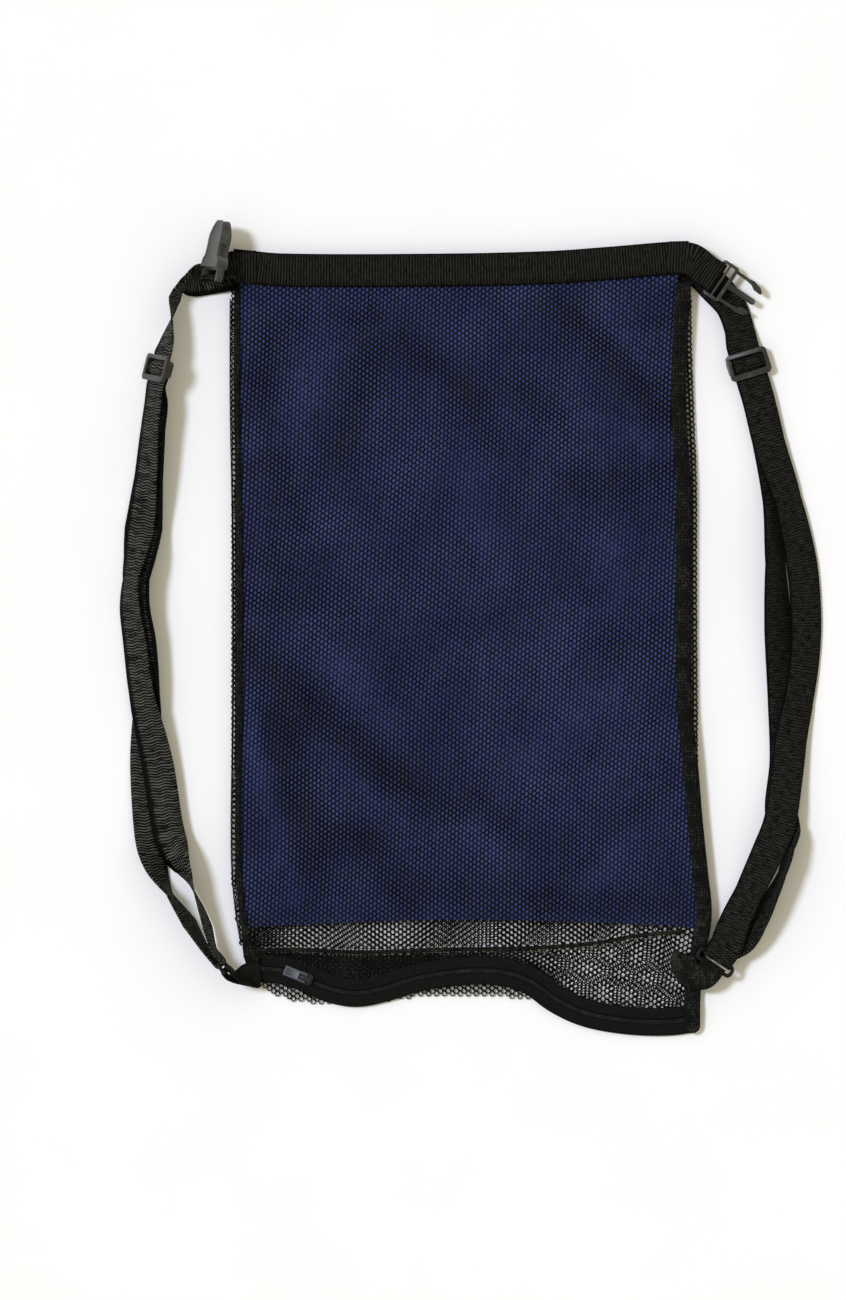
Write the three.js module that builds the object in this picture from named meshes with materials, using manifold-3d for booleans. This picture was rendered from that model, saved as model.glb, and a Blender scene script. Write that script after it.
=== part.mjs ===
// A net backpack lying on its back wall.
// Millimetres, +Z up, +Y towards the mouth, floor at z = 0, origin under the middle of the whole object.
import * as THREE from "three";
import { mergeVertices } from "three/addons/utils/BufferGeometryUtils.js";
import Module from "manifold-3d";

const wasm = await Module();
wasm.setup();

const { clamp, degToRad, lerp, smoothstep } = THREE.MathUtils;
const UP = new THREE.Vector3(0, 0, 1);

// Cloth, webbing and clearances
const GAP = 0.35;
const NET_WALL = 1.0;
const LINING_WALL = 1.0;
const BINDING_WALL = 1.0;
const WEB_WIDTH = 25;
const WEB_WALL = 1.5;
const RING_TAB_WIDTH = 20;

// Height of the front wall over the floor, along its edges, and what its middle and its foot add to that
const LOFT = 10.5;
const CROWN = 1.2;
const SEAM_DROP = 2.1;
const RIM_HEIGHT = 2.4;

// Front wall: cells across and down, and the lining's inset behind it
const FRONT_COLUMNS = 20;
const FRONT_ROWS = 27;
const FRONT_INSET = 1.5;
const WELT_REACH = 4.3;
const LINING_INSET_LEFT = 7.5;
const LINING_INSET_RIGHT = 4.5;
const LINING_TOP = 8;
const LINING_FOOT = -222;
const LINING_FOOT_CURVE = 6;

// Bound seams
const BINDING_LEFT_WIDTH = 4.4;
const BINDING_LEFT_INSET = 6.4;
const BINDING_RIGHT_WIDTH = 11.5;
const SEAM_BINDING_WIDTH = 3;
const SEAM_OPENING = 1.2;
const BINDING_LIFT = 0.6;

// Where the walls, the mouth's band and the bound seams end
const MOUTH_LEFT = -180;
const MOUTH_RIGHT = 166;
const FOOT_LEFT = -168;
const FOOT_RIGHT = 172;
const BACK_LEFT_END = -268;
const BACK_RIGHT_END = -298;
const GUSSET_TOP = 249;
const GUSSET_LEFT_END = -240;
const GUSSET_RIGHT_END = -229;
const BAND_FRONT_ENDS = [-181, 165.5];
const BAND_BACK_ENDS = [-178, 164];
const BINDING_LEFT_ENDS = [257, -240];
const BINDING_RIGHT_ENDS = [262, -284.5];
const SEAM_BINDING_ENDS = [-170, 163];

// Zip
const ZIP_STEPS = 42;
const TAPE_WIDTH = 9;
const TAPE_WALL = 1.0;
const TAPE_LIFT = 0.6;
const COIL_RADIUS = 1.2;
const COIL_SIDES = 6;
const COIL_ROOM = 0.45;
const COIL_SINK = 0.3;
const SLIDER_SHARE = 0.1004;
const SLIDER_LENGTH = 11;
const SLIDER_WIDTH = 8.6;
const SLIDER_WALL = 1.4;
const SLIDER_FLANGE = 1.5;
const SLIDER_FLANGE_FOOT = 1.45;
const SLIDER_ROOM = 0.2;
const SLIDER_CORNER = 1.6;
const CROWN_LENGTH = 7.6;
const CROWN_WIDTH = 2.4;
const CROWN_HEIGHT = 3.7;
const CROWN_WALL = 1.2;
const PULL_LENGTH = 17;
const PULL_WIDTH = 7.5;
const PULL_WALL = 1.2;
const PULL_WINDOW = 5.2;
const PULL_RAIL = 1.5;
const PULL_CORNER = 0.8;
const PULL_DROOP = 3.5;

// Hard pieces on the webbing
const BAR_RADIUS = 1.5;
const BAR_SIDES = 8;
const LOOP_RADIUS = BAR_RADIUS + GAP + WEB_WALL / 2;
const RING_REACH = 3.8;
const RING_HALF_WIDTH = 14.6;
const BUCKLE_HALF_SLOT = 13;
const STRAP_LOOP_REACH = 10;
const BUCKLE_LOOP_REACH = 8;
const MALE_THICKNESS = 4;
const MALE_FRAME_END = 12.5;
const MALE_HALF_WIDTH = 15.2;
const MALE_FIRST_SLOT_END = 4.4;
const MALE_SECOND_SLOT = [6.0, 9.8];
const PRONG_THICKNESS = 3.4;
const FEMALE_THICKNESS = 9;
const FEMALE_NOSE_THICKNESS = 6.4;
const FEMALE_NOSE_FROM = 33;
const FEMALE_FRAME_THICKNESS = 5.4;
const FEMALE_FRAME_END = 8.5;
const FEMALE_SLOT_END = 6.8;
const FEMALE_WINDOW = [18, 27];
const SOCKET_FROM = 16.5;
const SOCKET_HALF_WIDTH = 9.6;
const SOCKET_HALF_HEIGHT = 2.1;
const GLIDE_BAR_DROP = 1.0;
const GLIDE_FRAME = [-9.6, 10.6];
const GLIDE_FRAME_BASE = 1.25;
const GLIDE_FRAME_WALL = 3.0;
const GLIDE_HALF_WIDTH = 16;
const GLIDE_RAIL = 6.5;
const GLIDE_WINDOW = 6.3;
const FRAME_CORNER = 2;
// A cut reaches this far, past any hard piece
const CUT = 60;

// Side edges from the mouth down: the back wall's left and right edge, and the middle of the right welt
const SIDES = [
  { y: 290, left: -183.4, right: 167.5, welt: 162.5 },
  { y: 260, left: -184.7, right: 169.0, welt: 160.5 },
  { y: 208, left: -185.0, right: 169.6, welt: 157.4 },
  { y: 158, left: -184.8, right: 171.6, welt: 157.0 },
  { y: 110, left: -183.8, right: 173.3, welt: 160.4 },
  { y: 33, left: -182.8, right: 173.4, welt: 160.4 },
  { y: -55, left: -183.0, right: 174.0, welt: 161.2 },
  { y: -105, left: -183.6, right: 174.2, welt: 165.8 },
  { y: -147, left: -184.2, right: 176.0, welt: 169.3 },
  { y: -185, left: -183.6, right: 179.0, welt: 173.2 },
  { y: -218, left: -180.6, right: 182.0, welt: 176.2 },
  { y: -245, left: -175.6, right: 178.2, welt: 172.0 },
  { y: -270, left: -168.7, right: 174.6, welt: 168.5 },
  { y: -286, left: -166.0, right: 173.2, welt: 167.5 },
  { y: -302, left: -164.0, right: 174.2, welt: 167.5 },
];

// Middle of the mouth's webbing band
const BAND = [
  { x: -180, y: 274.7 },
  { x: -143, y: 271.3 },
  { x: -17, y: 271.3 },
  { x: 59, y: 273.2 },
  { x: 103, y: 276.3 },
  { x: 152, y: 280.4 },
  { x: 166, y: 280.8 },
];

// Foot of the front wall, and the bag's lowest outline
const SEAM = [
  { x: -174, y: -245.5 },
  { x: -131, y: -244.5 },
  { x: -85, y: -246.5 },
  { x: -24, y: -244.5 },
  { x: 36, y: -243.5 },
  { x: 67, y: -242.0 },
  { x: 97, y: -239.0 },
  { x: 128, y: -233.5 },
  { x: 172, y: -230.0 },
];
const OUTLINE = [
  { x: -168, y: -271.0 },
  { x: -153, y: -278.5 },
  { x: -123, y: -286.0 },
  { x: -81, y: -285.5 },
  { x: -37, y: -281.0 },
  { x: 22, y: -281.5 },
  { x: 56, y: -284.8 },
  { x: 81, y: -295.4 },
  { x: 115, y: -306.0 },
  { x: 152, y: -308.6 },
  { x: 173, y: -303.5 },
];

// Middle of the zip, which waves where the cloth has been pulled
const ZIP = [
  { x: -160, y: -258.8 },
  { x: -145, y: -260.2 },
  { x: -128, y: -265.6 },
  { x: -108, y: -274.2 },
  { x: -88, y: -277.6 },
  { x: -66, y: -273.6 },
  { x: -43, y: -266.4 },
  { x: -16, y: -261.8 },
  { x: 6, y: -260.3 },
  { x: 27, y: -262.2 },
  { x: 46, y: -269.4 },
  { x: 64, y: -282.3 },
  { x: 85, y: -292.2 },
  { x: 114, y: -298.0 },
  { x: 148, y: -299.4 },
  { x: 170.5, y: -296.6 },
];

// Main folds of the front: each runs from one point to another, and rises or sinks over its width
const FOLDS = [
  { x: 71, y: 253, toX: 147, toY: 169, width: 12, rise: -1.6 },
  { x: 90, y: 158, toX: 139, toY: 135, width: 13, rise: 2.4 },
  { x: 90, y: 112, toX: 143, toY: 113, width: 12, rise: -1.4 },
  { x: -146, y: 154, toX: -100, toY: 215, width: 19, rise: 2.2 },
  { x: -169, y: 123, toX: -115, toY: 78, width: 12, rise: -1.6 },
  { x: -176, y: -17, toX: -58, toY: -112, width: 12, rise: -1.8 },
  { x: -58, y: -112, toX: -9, toY: -135, width: 11, rise: -1.2 },
  { x: -127, y: -20, toX: -62, toY: -70, width: 14, rise: 2.6 },
  { x: -165, y: -75, toX: -127, toY: -205, width: 17, rise: 2.4 },
  { x: -28, y: 169, toX: 14, toY: 74, width: 15, rise: 2.2 },
  { x: 90, y: -40, toX: 112, toY: -63, width: 17, rise: 2.0 },
  { x: 2, y: -112, toX: 32, toY: -150, width: 11, rise: -1.3 },
  { x: -12, y: -160, toX: 36, toY: -182, width: 13, rise: 2.0 },
  { x: 90, y: -203, toX: 124, toY: -158, width: 13, rise: 2.2 },
];

// Folds fade out towards the bound edges: where they start inside each edge, and over what distance
const FOLD_START_LEFT = 11;
const FOLD_START_RIGHT = 13;
const FOLD_START_TOP = 26;
const FOLD_START_FOOT = 14;
const FOLD_FADE = 16;

// Shoulder straps: the rows run down the strap, and tilt turns the webbing about its own run
const STRAP_LEFT = {
  upper: [
    { x: -172, y: 269.6, z: 4.2, tilt: 180 },
    { x: -182, y: 268.2, z: 4.1, tilt: 180 },
    { x: -191, y: 266.6, z: 3.3, tilt: 180 },
    { x: -205, y: 264.2, z: 3.0, tilt: 176 },
    { x: -212, y: 262.6, z: 8.8, tilt: 140 },
    { x: -217, y: 260.4, z: 12.2, tilt: 117 },
    { x: -221.8, y: 257.0, z: 13.4, tilt: 102 },
    { x: -225.5, y: 249, z: 13.2, tilt: 108 },
    { x: -227.6, y: 236, z: 13.6, tilt: 90 },
    { x: -231.0, y: 220, z: 14.6, tilt: 68 },
  ],
  slider: { x: -237, y: 196.5, z: 16.4, heading: 256, tilt: 58 },
  front: [
    { x: -242, y: 170, z: 15.6, tilt: 59 },
    { x: -244.5, y: 150, z: 14.8, tilt: 57 },
    { x: -247.6, y: 113, z: 12.8, tilt: 45 },
    { x: -252.4, y: 75, z: 9.2, tilt: 24 },
    { x: -255.8, y: 54, z: 12.2, tilt: 48 },
    { x: -259.0, y: 36, z: 14.6, tilt: 62 },
    { x: -259.6, y: 15, z: 13.6, tilt: 52 },
    { x: -256.2, y: -10, z: 12.4, tilt: 45 },
    { x: -250.8, y: -50, z: 13.0, tilt: 40 },
    { x: -238.6, y: -104, z: 9.6, tilt: 10 },
    { x: -229.0, y: -160, z: 10.0, tilt: 8 },
    { x: -218.6, y: -183, z: 16.4, tilt: 62 },
    { x: -213.0, y: -195, z: 16.0, tilt: 84 },
    { x: -205.5, y: -213, z: 15.6, tilt: 97 },
    { x: -200.6, y: -227, z: 15.8, tilt: 103 },
  ],
  back: [
    { x: -237.0, y: 170, z: 14.0, tilt: 239 },
    { x: -239.2, y: 150, z: 13.4, tilt: 237 },
    { x: -243.0, y: 113, z: 11.2, tilt: 225 },
    { x: -246.2, y: 75, z: 6.8, tilt: 204 },
    { x: -247.8, y: 54, z: 10.6, tilt: 228 },
    { x: -250.6, y: 36, z: 12.6, tilt: 241 },
    { x: -251.8, y: 15, z: 12.0, tilt: 232 },
    { x: -248.4, y: -10, z: 10.6, tilt: 225 },
    { x: -246.4, y: -50, z: 8.9, tilt: 219 },
    { x: -247.4, y: -104, z: 3.6, tilt: 186 },
    { x: -244.0, y: -158, z: 4.2, tilt: 170 },
    { x: -240.0, y: -181, z: 10.6, tilt: 132 },
    { x: -229.5, y: -202, z: 13.8, tilt: 96 },
    { x: -214.5, y: -224, z: 14.2, tilt: 112 },
  ],
  ring: { x: -188.5, y: -257.3, z: 16.3, heading: -50, tilt: 97 },
  frontFace: -1,
  backTurn: -1,
};
const STRAP_RIGHT = {
  upper: [
    { x: 160, y: 275.0, z: 4.2, tilt: 0 },
    { x: 172.5, y: 270, z: 4.0, tilt: 0 },
    { x: 184, y: 259.0, z: 3.2, tilt: 0 },
    { x: 196.5, y: 244, z: 5.4, tilt: -20 },
    { x: 203.0, y: 226, z: 6.9, tilt: -24 },
  ],
  slider: { x: 209.4, y: 200.3, z: 6.4, heading: -73, tilt: -6 },
  front: [
    { x: 217.5, y: 173, z: 6.2, tilt: -4 },
    { x: 226.0, y: 138, z: 6.2, tilt: -6 },
    { x: 239.4, y: 97, z: 9.8, tilt: -32 },
    { x: 250.4, y: 48, z: 6.2, tilt: -18 },
    { x: 253.6, y: 6, z: 6.2, tilt: -20 },
    { x: 252.3, y: -25, z: 6.8, tilt: -24 },
    { x: 247.8, y: -55, z: 7.8, tilt: -24 },
    { x: 242.4, y: -82, z: 7.4, tilt: -6 },
    { x: 239.0, y: -111, z: 9.0, tilt: 0 },
    { x: 233.0, y: -148, z: 16.0, tilt: 3 },
    { x: 224.6, y: -169, z: 18.0, tilt: 15 },
    { x: 209.8, y: -201, z: 14.4, tilt: 36 },
    { x: 198.8, y: -224, z: 14.6, tilt: 24 },
  ],
  back: [
    { x: 217.5, y: 173, z: 3.8, tilt: -4 },
    { x: 225.8, y: 138, z: 3.2, tilt: -6 },
    { x: 231.0, y: 95, z: 7.8, tilt: -33 },
    { x: 230.2, y: 48, z: 11.0, tilt: -52 },
    { x: 232.6, y: -2, z: 7.6, tilt: -30 },
    { x: 236.4, y: -55, z: 5.0, tilt: -17 },
    { x: 238.4, y: -101, z: 2.8, tilt: 0 },
    { x: 234.8, y: -140, z: 4.0, tilt: 5 },
    { x: 239.2, y: -158, z: 9.8, tilt: 38 },
    { x: 239.6, y: -170, z: 13.4, tilt: 74 },
    { x: 235.0, y: -187, z: 13.8, tilt: 80 },
    { x: 227.4, y: -203, z: 13.4, tilt: 70 },
    { x: 216.4, y: -222, z: 12.6, tilt: 52 },
    { x: 204.2, y: -237, z: 11.4, tilt: 26 },
  ],
  ring: { x: 184.2, y: -254.0, z: 15.4, heading: 236.5, tilt: 0 },
  frontFace: 1,
  backTurn: 1,
};

// Webbing that ties the rings and the buckle halves to the bag
const RING_TAB_LEFT = {
  over: [
    { x: -161.0, y: -263.2, z: 9.6, tilt: -2 },
    { x: -166.2, y: -263.6, z: 10.6, tilt: 4 },
    { x: -171.2, y: -264.2, z: 13.6, tilt: 42 },
    { x: -176.4, y: -264.8, z: 15.8, tilt: 70 },
  ],
  under: [
    { x: -161.0, y: -263.2, z: 7.4, tilt: -2 },
    { x: -166.2, y: -263.6, z: 8.4, tilt: 4 },
    { x: -172.0, y: -265.4, z: 11.8, tilt: 42 },
    { x: -178.0, y: -266.6, z: 14.8, tilt: 70 },
  ],
  turn: 1,
  face: -1,
  reach: 4,
};
const RING_TAB_RIGHT = {
  over: [
    { x: 162.2, y: -247.4, z: 12.6, tilt: 0 },
    { x: 160.3, y: -254.0, z: 12.6, tilt: 0 },
    { x: 162.6, y: -260.4, z: 12.6, tilt: 0 },
    { x: 168.3, y: -264.2, z: 12.9, tilt: 0 },
    { x: 175.7, y: -264.8, z: 14.4, tilt: 0 },
  ],
  under: [
    { x: 162.2, y: -247.4, z: 10.6, tilt: 0 },
    { x: 160.3, y: -254.0, z: 10.6, tilt: 0 },
    { x: 162.6, y: -260.4, z: 10.6, tilt: 0 },
    { x: 168.3, y: -264.2, z: 10.9, tilt: 0 },
    { x: 175.7, y: -264.8, z: 11.7, tilt: 0 },
  ],
  turn: -1,
  face: 1,
  reach: 3,
};
const TAB_SEAT = LOFT + GAP + WEB_WALL + GAP + WEB_WALL / 2;
const BUCKLE_TAB_LEFT = [
  { x: -164, y: 273.4, z: TAB_SEAT, tilt: 0 },
  { x: -174, y: 273.4, z: TAB_SEAT + 0.4, tilt: 0 },
  { x: -182.5, y: 272.4, z: TAB_SEAT + 2.6, tilt: 0 },
  { x: -187.5, y: 268.4, z: TAB_SEAT + 3.6, tilt: 54 },
];
const BUCKLE_TAB_RIGHT = {
  over: [
    { x: 149.0, y: 280.6, z: TAB_SEAT, tilt: 0 },
    { x: 166.5, y: 279.0, z: TAB_SEAT, tilt: 0 },
    { x: 173.0, y: 274.2, z: TAB_SEAT - 0.2, tilt: 0 },
  ],
  under: [
    { x: 163.0, y: 279.0, z: 6.6, tilt: 0 },
    { x: 170.0, y: 275.6, z: 6.6, tilt: 0 },
  ],
};
const MALE = { x: 184.4, y: 266.0, z: 10.4, heading: -34, tilt: 0 };
const FEMALE = { x: -197.4, y: 263.8, z: 22.4, heading: 78, tilt: 114 };

// Half of the female half's outline, from the webbing to the mouth
const FEMALE_OUTLINE = [
  { along: -1.6, half: 13.8 },
  { along: 0.4, half: 15.4 },
  { along: 12.5, half: 15.8 },
  { along: 15.0, half: 15.0 },
  { along: 17.5, half: 12.2 },
  { along: 23.0, half: 11.4 },
  { along: 30.0, half: 11.8 },
  { along: 35.0, half: 11.2 },
  { along: 40.0, half: 9.2 },
  { along: 43.6, half: 6.6 },
  { along: 45.0, half: 4.2 },
];

// One springy arm of the male half, and half of its middle guide
const PRONG_OUTLINE = [
  { along: 11.0, half: 13.4 },
  { along: 22.0, half: 13.2 },
  { along: 27.0, half: 13.8 },
  { along: 33.0, half: 12.4 },
  { along: 36.5, half: 9.6 },
  { along: 36.0, half: 7.8 },
  { along: 30.0, half: 8.0 },
  { along: 26.5, half: 10.2 },
  { along: 22.0, half: 10.9 },
  { along: 11.0, half: 11.2 },
];
const GUIDE_OUTLINE = [
  { along: 11.0, half: 2.2 },
  { along: 34.5, half: 2.2 },
  { along: 36.0, half: 1.3 },
];

// The webbing's way through a slider: over its middle bar, and the sewn end round that bar
const GLIDE_OVER = [
  { along: -14, out: 0 },
  { along: -9, out: 0 },
  { along: -6.4, out: 0.05 },
  { along: -5.1, out: 0.7 },
  { along: -3.5, out: 2.2 },
  { along: -2, out: 3.1 },
  { along: 0, out: 3.45 },
  { along: 2, out: 3.1 },
  { along: 3.5, out: 2.2 },
  { along: 5.1, out: 0.7 },
  { along: 6.4, out: 0.05 },
  { along: 9.5, out: 0 },
  { along: 14, out: 0 },
];
const GLIDE_UNDER = [
  { along: 14, out: -2.1 },
  { along: 9.5, out: -2.1 },
  { along: 6.0, out: -2.4 },
  { along: 3.2, out: -3.4 },
];

// Finishes
const finish = (color, roughness) => new THREE.MeshStandardMaterial({ color, roughness, metalness: 0 });
const NET_BLACK = finish(0x10131c, 0.9);
const NAVY = finish(0x2f3a63, 0.8);
const WEB_BLACK = finish(0x20211d, 0.85);
const WEB_GREY = finish(0x33342e, 0.85);
const TAPE_BLACK = finish(0x15161a, 0.85);
const COIL_BLACK = finish(0x24262a, 0.5);
const PULL_GREY = finish(0x5a6474, 0.45);
const PLASTIC = finish(0x4a4b47, 0.45);

const bag = new THREE.Group();

function addPiece(name, geometry, material, parent = bag) {
  const mesh = new THREE.Mesh(geometry, material);
  mesh.name = name;
  parent.add(mesh);
  return mesh;
}

// A smooth curve through the rows of a table, read from one column to another
function profile(rows, from, to) {
  const sorted = [...rows].sort((a, b) => a[from] - b[from]);
  const slopes = sorted.map((row, k) => {
    const before = sorted[Math.max(k - 1, 0)];
    const after = sorted[Math.min(k + 1, sorted.length - 1)];
    return (after[to] - before[to]) / (after[from] - before[from]);
  });
  return (value) => {
    const next = sorted.findIndex((row) => row[from] > value);
    const k = next < 0 ? sorted.length - 2 : Math.max(next - 1, 0);
    const span = sorted[k + 1][from] - sorted[k][from];
    const f = clamp((value - sorted[k][from]) / span, 0, 1);
    const rise = f * f * (3 - 2 * f);
    const bend = span * (f * (1 - f) * (1 - f) * slopes[k] - f * f * (1 - f) * slopes[k + 1]);
    return lerp(sorted[k][to], sorted[k + 1][to], rise) + bend;
  };
}

const leftEdge = profile(SIDES, "y", "left");
const rightEdge = profile(SIDES, "y", "right");
const welt = profile(SIDES, "y", "welt");
const bandMiddle = profile(BAND, "x", "y");
const seam = profile(SEAM, "x", "y");
const outline = profile(OUTLINE, "x", "y");
const mouthEdge = (x) => bandMiddle(x) + WEB_WIDTH / 2 - 2;
const frontLeft = (y) => leftEdge(y) + FRONT_INSET;
const frontRight = (y) => welt(y) + WELT_REACH;
const liningFoot = (x) => LINING_FOOT - LINING_FOOT_CURVE * (x / 172) ** 2;

// How far a point lies from a fold's line
function foldDistance(x, y, fold) {
  const runX = fold.toX - fold.x;
  const runY = fold.toY - fold.y;
  const f = clamp(((x - fold.x) * runX + (y - fold.y) * runY) / (runX * runX + runY * runY), 0, 1);
  return Math.hypot(x - fold.x - f * runX, y - fold.y - f * runY);
}

// Height of the front wall's outer face over the floor
function frontHeight(x, y) {
  const inside = Math.min(
    x - frontLeft(y) - FOLD_START_LEFT,
    frontRight(y) - x - FOLD_START_RIGHT,
    mouthEdge(x) - y - FOLD_START_TOP,
    y - seam(x) - FOLD_START_FOOT,
  );
  const folds = FOLDS.reduce((sum, fold) => {
    return sum + fold.rise * Math.exp(-((foldDistance(x, y, fold) / fold.width) ** 2));
  }, 0);
  const drop = SEAM_DROP * smoothstep(-y, 205, 245);
  return LOFT - drop + (folds + CROWN) * smoothstep(inside, 0, FOLD_FADE);
}

// Height of the cloth below the front's foot, which falls to the outline
function footHeight(x, y) {
  const share = clamp((seam(x) - y) / (seam(x) - outline(x)), 0, 1);
  return lerp(frontHeight(x, seam(x)), RIM_HEIGHT, share);
}

function solidGeometry(points, triangles) {
  const geometry = new THREE.BufferGeometry();
  const numbers = points.flatMap((p) => p.toArray());
  geometry.setAttribute("position", new THREE.Float32BufferAttribute(numbers, 3));
  geometry.setIndex(triangles);
  geometry.computeVertexNormals();
  return geometry;
}

// A cloth wall between an outer and an inner grid of points, closed round its rim
function clothWall(outer, inner) {
  const columns = outer.length - 1;
  const rows = outer[0].length - 1;
  const points = [...outer.flat(), ...inner.flat()];
  const up = (i, j) => i * (rows + 1) + j;
  const down = (i, j) => (columns + 1) * (rows + 1) + up(i, j);
  const triangles = [];
  const rim = (a, b) => {
    triangles.push(up(...a), up(...b), down(...b), up(...a), down(...b), down(...a));
  };
  for (let i = 0; i < columns; i += 1) {
    for (let j = 0; j < rows; j += 1) {
      triangles.push(up(i, j), up(i, j + 1), up(i + 1, j + 1), up(i, j), up(i + 1, j + 1), up(i + 1, j));
      triangles.push(down(i, j), down(i + 1, j + 1), down(i, j + 1));
      triangles.push(down(i, j), down(i + 1, j), down(i + 1, j + 1));
    }
    rim([i, 0], [i + 1, 0]);
    rim([i + 1, rows], [i, rows]);
  }
  for (let j = 0; j < rows; j += 1) {
    rim([0, j + 1], [0, j]);
    rim([columns, j], [columns, j + 1]);
  }
  return solidGeometry(points, triangles);
}

function grid(columns, rows, at) {
  const line = (i) => Array.from({ length: rows + 1 }, (_, j) => at(i, j));
  return Array.from({ length: columns + 1 }, (_, i) => line(i));
}

const dropped = (p, drop) => p.clone().addScaledVector(UP, -drop);
const lowered = (points, drop) => points.map((line) => line.map((p) => dropped(p, drop)));

// A sloping wall: the grid is its middle, and its thickness lies across it
function slopingWall(middle, thickness) {
  const columns = middle.length - 1;
  const rows = middle[0].length - 1;
  const shifted = (reach) => grid(columns, rows, (i, j) => {
    const along = middle[Math.min(i + 1, columns)][j].clone().sub(middle[Math.max(i - 1, 0)][j]);
    const downwards = middle[i][Math.min(j + 1, rows)].clone().sub(middle[i][Math.max(j - 1, 0)]);
    return middle[i][j].clone().addScaledVector(downwards.cross(along).normalize(), reach);
  });
  return clothWall(shifted(thickness / 2), shifted(-thickness / 2));
}

// A webbing station: its middle, and the direction across the webbing
function station(p, heading, tilt) {
  const side = new THREE.Vector3(-Math.sin(heading), Math.cos(heading), 0);
  side.multiplyScalar(Math.cos(tilt)).addScaledVector(UP, Math.sin(tilt));
  return { p, side };
}

function stationsOf(rows) {
  return rows.map((row, k) => {
    const before = rows[Math.max(k - 1, 0)];
    const after = rows[Math.min(k + 1, rows.length - 1)];
    const heading = Math.atan2(after.y - before.y, after.x - before.x);
    return station(new THREE.Vector3(row.x, row.y, row.z), heading, degToRad(row.tilt));
  });
}

// The place of a hard piece: its axes along the webbing, across it and out of its face
function seatOf({ x, y, z, heading, tilt }) {
  const along = new THREE.Vector3(Math.cos(degToRad(heading)), Math.sin(degToRad(heading)), 0);
  const { p, side } = station(new THREE.Vector3(x, y, z), degToRad(heading), degToRad(tilt));
  return { p, along, side, out: along.clone().cross(side) };
}

function seatPoint(seat, along, out) {
  return seat.p.clone().addScaledVector(seat.along, along).addScaledVector(seat.out, out);
}

function placeOn(mesh, seat, drop = 0) {
  mesh.position.copy(seatPoint(seat, 0, -drop));
  mesh.quaternion.setFromRotationMatrix(new THREE.Matrix4().makeBasis(seat.along, seat.side, seat.out));
}

// Webbing round a bar: in over one face, round the bar's far side, and back under it
const LOOP_ANGLES = [36, 72, 108, 144];

function roundBar(seat, barAlong, towards, face, side, reach) {
  const at = (along, out) => ({ p: seatPoint(seat, barAlong + towards * along, face * out), side });
  const arc = LOOP_ANGLES.map((angle) => {
    return at(LOOP_RADIUS * Math.sin(degToRad(angle)), LOOP_RADIUS * Math.cos(degToRad(angle)));
  });
  const runs = [-reach, -reach / 2, 0];
  const over = runs.map((along) => at(along, LOOP_RADIUS));
  const under = runs.map((along) => at(along, -LOOP_RADIUS)).reverse();
  return [...over, ...arc, ...under];
}

// More stations between the given ones, along one smooth curve
function smoothStations(stations, spacing) {
  const last = stations.length - 1;
  const curve = new THREE.CatmullRomCurve3(stations.map((s) => s.p), false, "centripetal");
  const smooth = [];
  for (let k = 0; k < last; k += 1) {
    const steps = Math.max(1, Math.round(stations[k].p.distanceTo(stations[k + 1].p) / spacing));
    for (let step = 0; step < steps; step += 1) {
      const f = step / steps;
      const side = stations[k].side.clone().lerp(stations[k + 1].side, f).normalize();
      smooth.push({ p: curve.getPoint((k + f) / last), side });
    }
  }
  smooth.push(stations[last]);
  return smooth;
}

// A flat webbing through its stations, with square edges. Its underside is split along the same diagonals as
// its upper face, so that it keeps its thickness where it twists.
const UNDERSIDE = 2;
function webbing(stations, width, thickness) {
  const last = stations.length - 1;
  const points = stations.flatMap(({ p, side }, k) => {
    const before = stations[Math.max(k - 1, 0)].p;
    const after = stations[Math.min(k + 1, last)].p;
    const run = after.clone().sub(before).normalize();
    const across = side.clone().addScaledVector(run, -side.dot(run)).normalize();
    const face = run.clone().cross(across);
    const corner = (a, f) => {
      const edge = p.clone().addScaledVector(across, a * width / 2);
      return edge.addScaledVector(face, f * thickness / 2);
    };
    return [corner(1, 1), corner(-1, 1), corner(-1, -1), corner(1, -1)];
  });
  const triangles = [0, 3, 2, 0, 2, 1];
  for (let k = 0; k < last; k += 1) {
    for (let c = 0; c < 4; c += 1) {
      const a = 4 * k + c;
      const b = 4 * k + ((c + 1) % 4);
      if (c === UNDERSIDE) {
        triangles.push(a, b, a + 4, b, b + 4, a + 4);
      } else {
        triangles.push(a, b, b + 4, a, b + 4, a + 4);
      }
    }
  }
  const end = 4 * last;
  triangles.push(end, end + 1, end + 2, end, end + 2, end + 3);
  return solidGeometry(points, triangles);
}

// Joining and cutting of hard pieces
function toSolid(geometry) {
  const bare = new THREE.BufferGeometry();
  bare.setAttribute("position", geometry.attributes.position);
  if (geometry.index) {
    bare.setIndex(geometry.index);
  }
  const merged = mergeVertices(bare, 1e-4);
  const vertProperties = new Float32Array(merged.attributes.position.array);
  const triVerts = new Uint32Array(merged.index.array);
  return new wasm.Manifold(new wasm.Mesh({ numProp: 3, vertProperties, triVerts }));
}

function toGeometry(solid) {
  const mesh = solid.getMesh();
  const geometry = new THREE.BufferGeometry();
  geometry.setAttribute("position", new THREE.Float32BufferAttribute(mesh.vertProperties, 3));
  geometry.setIndex([...mesh.triVerts]);
  geometry.computeVertexNormals();
  return geometry;
}

function box(fromX, toX, halfY, fromZ, toZ) {
  const geometry = new THREE.BoxGeometry(toX - fromX, 2 * halfY, toZ - fromZ);
  return toSolid(geometry.translate((fromX + toX) / 2, 0, (fromZ + toZ) / 2));
}

function plate(points, fromZ, toZ) {
  const shape = new THREE.Shape(points.map(([x, y]) => new THREE.Vector2(x, y)));
  const geometry = new THREE.ExtrudeGeometry(shape, { depth: toZ - fromZ, bevelEnabled: false });
  return toSolid(geometry.translate(0, 0, fromZ));
}

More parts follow.
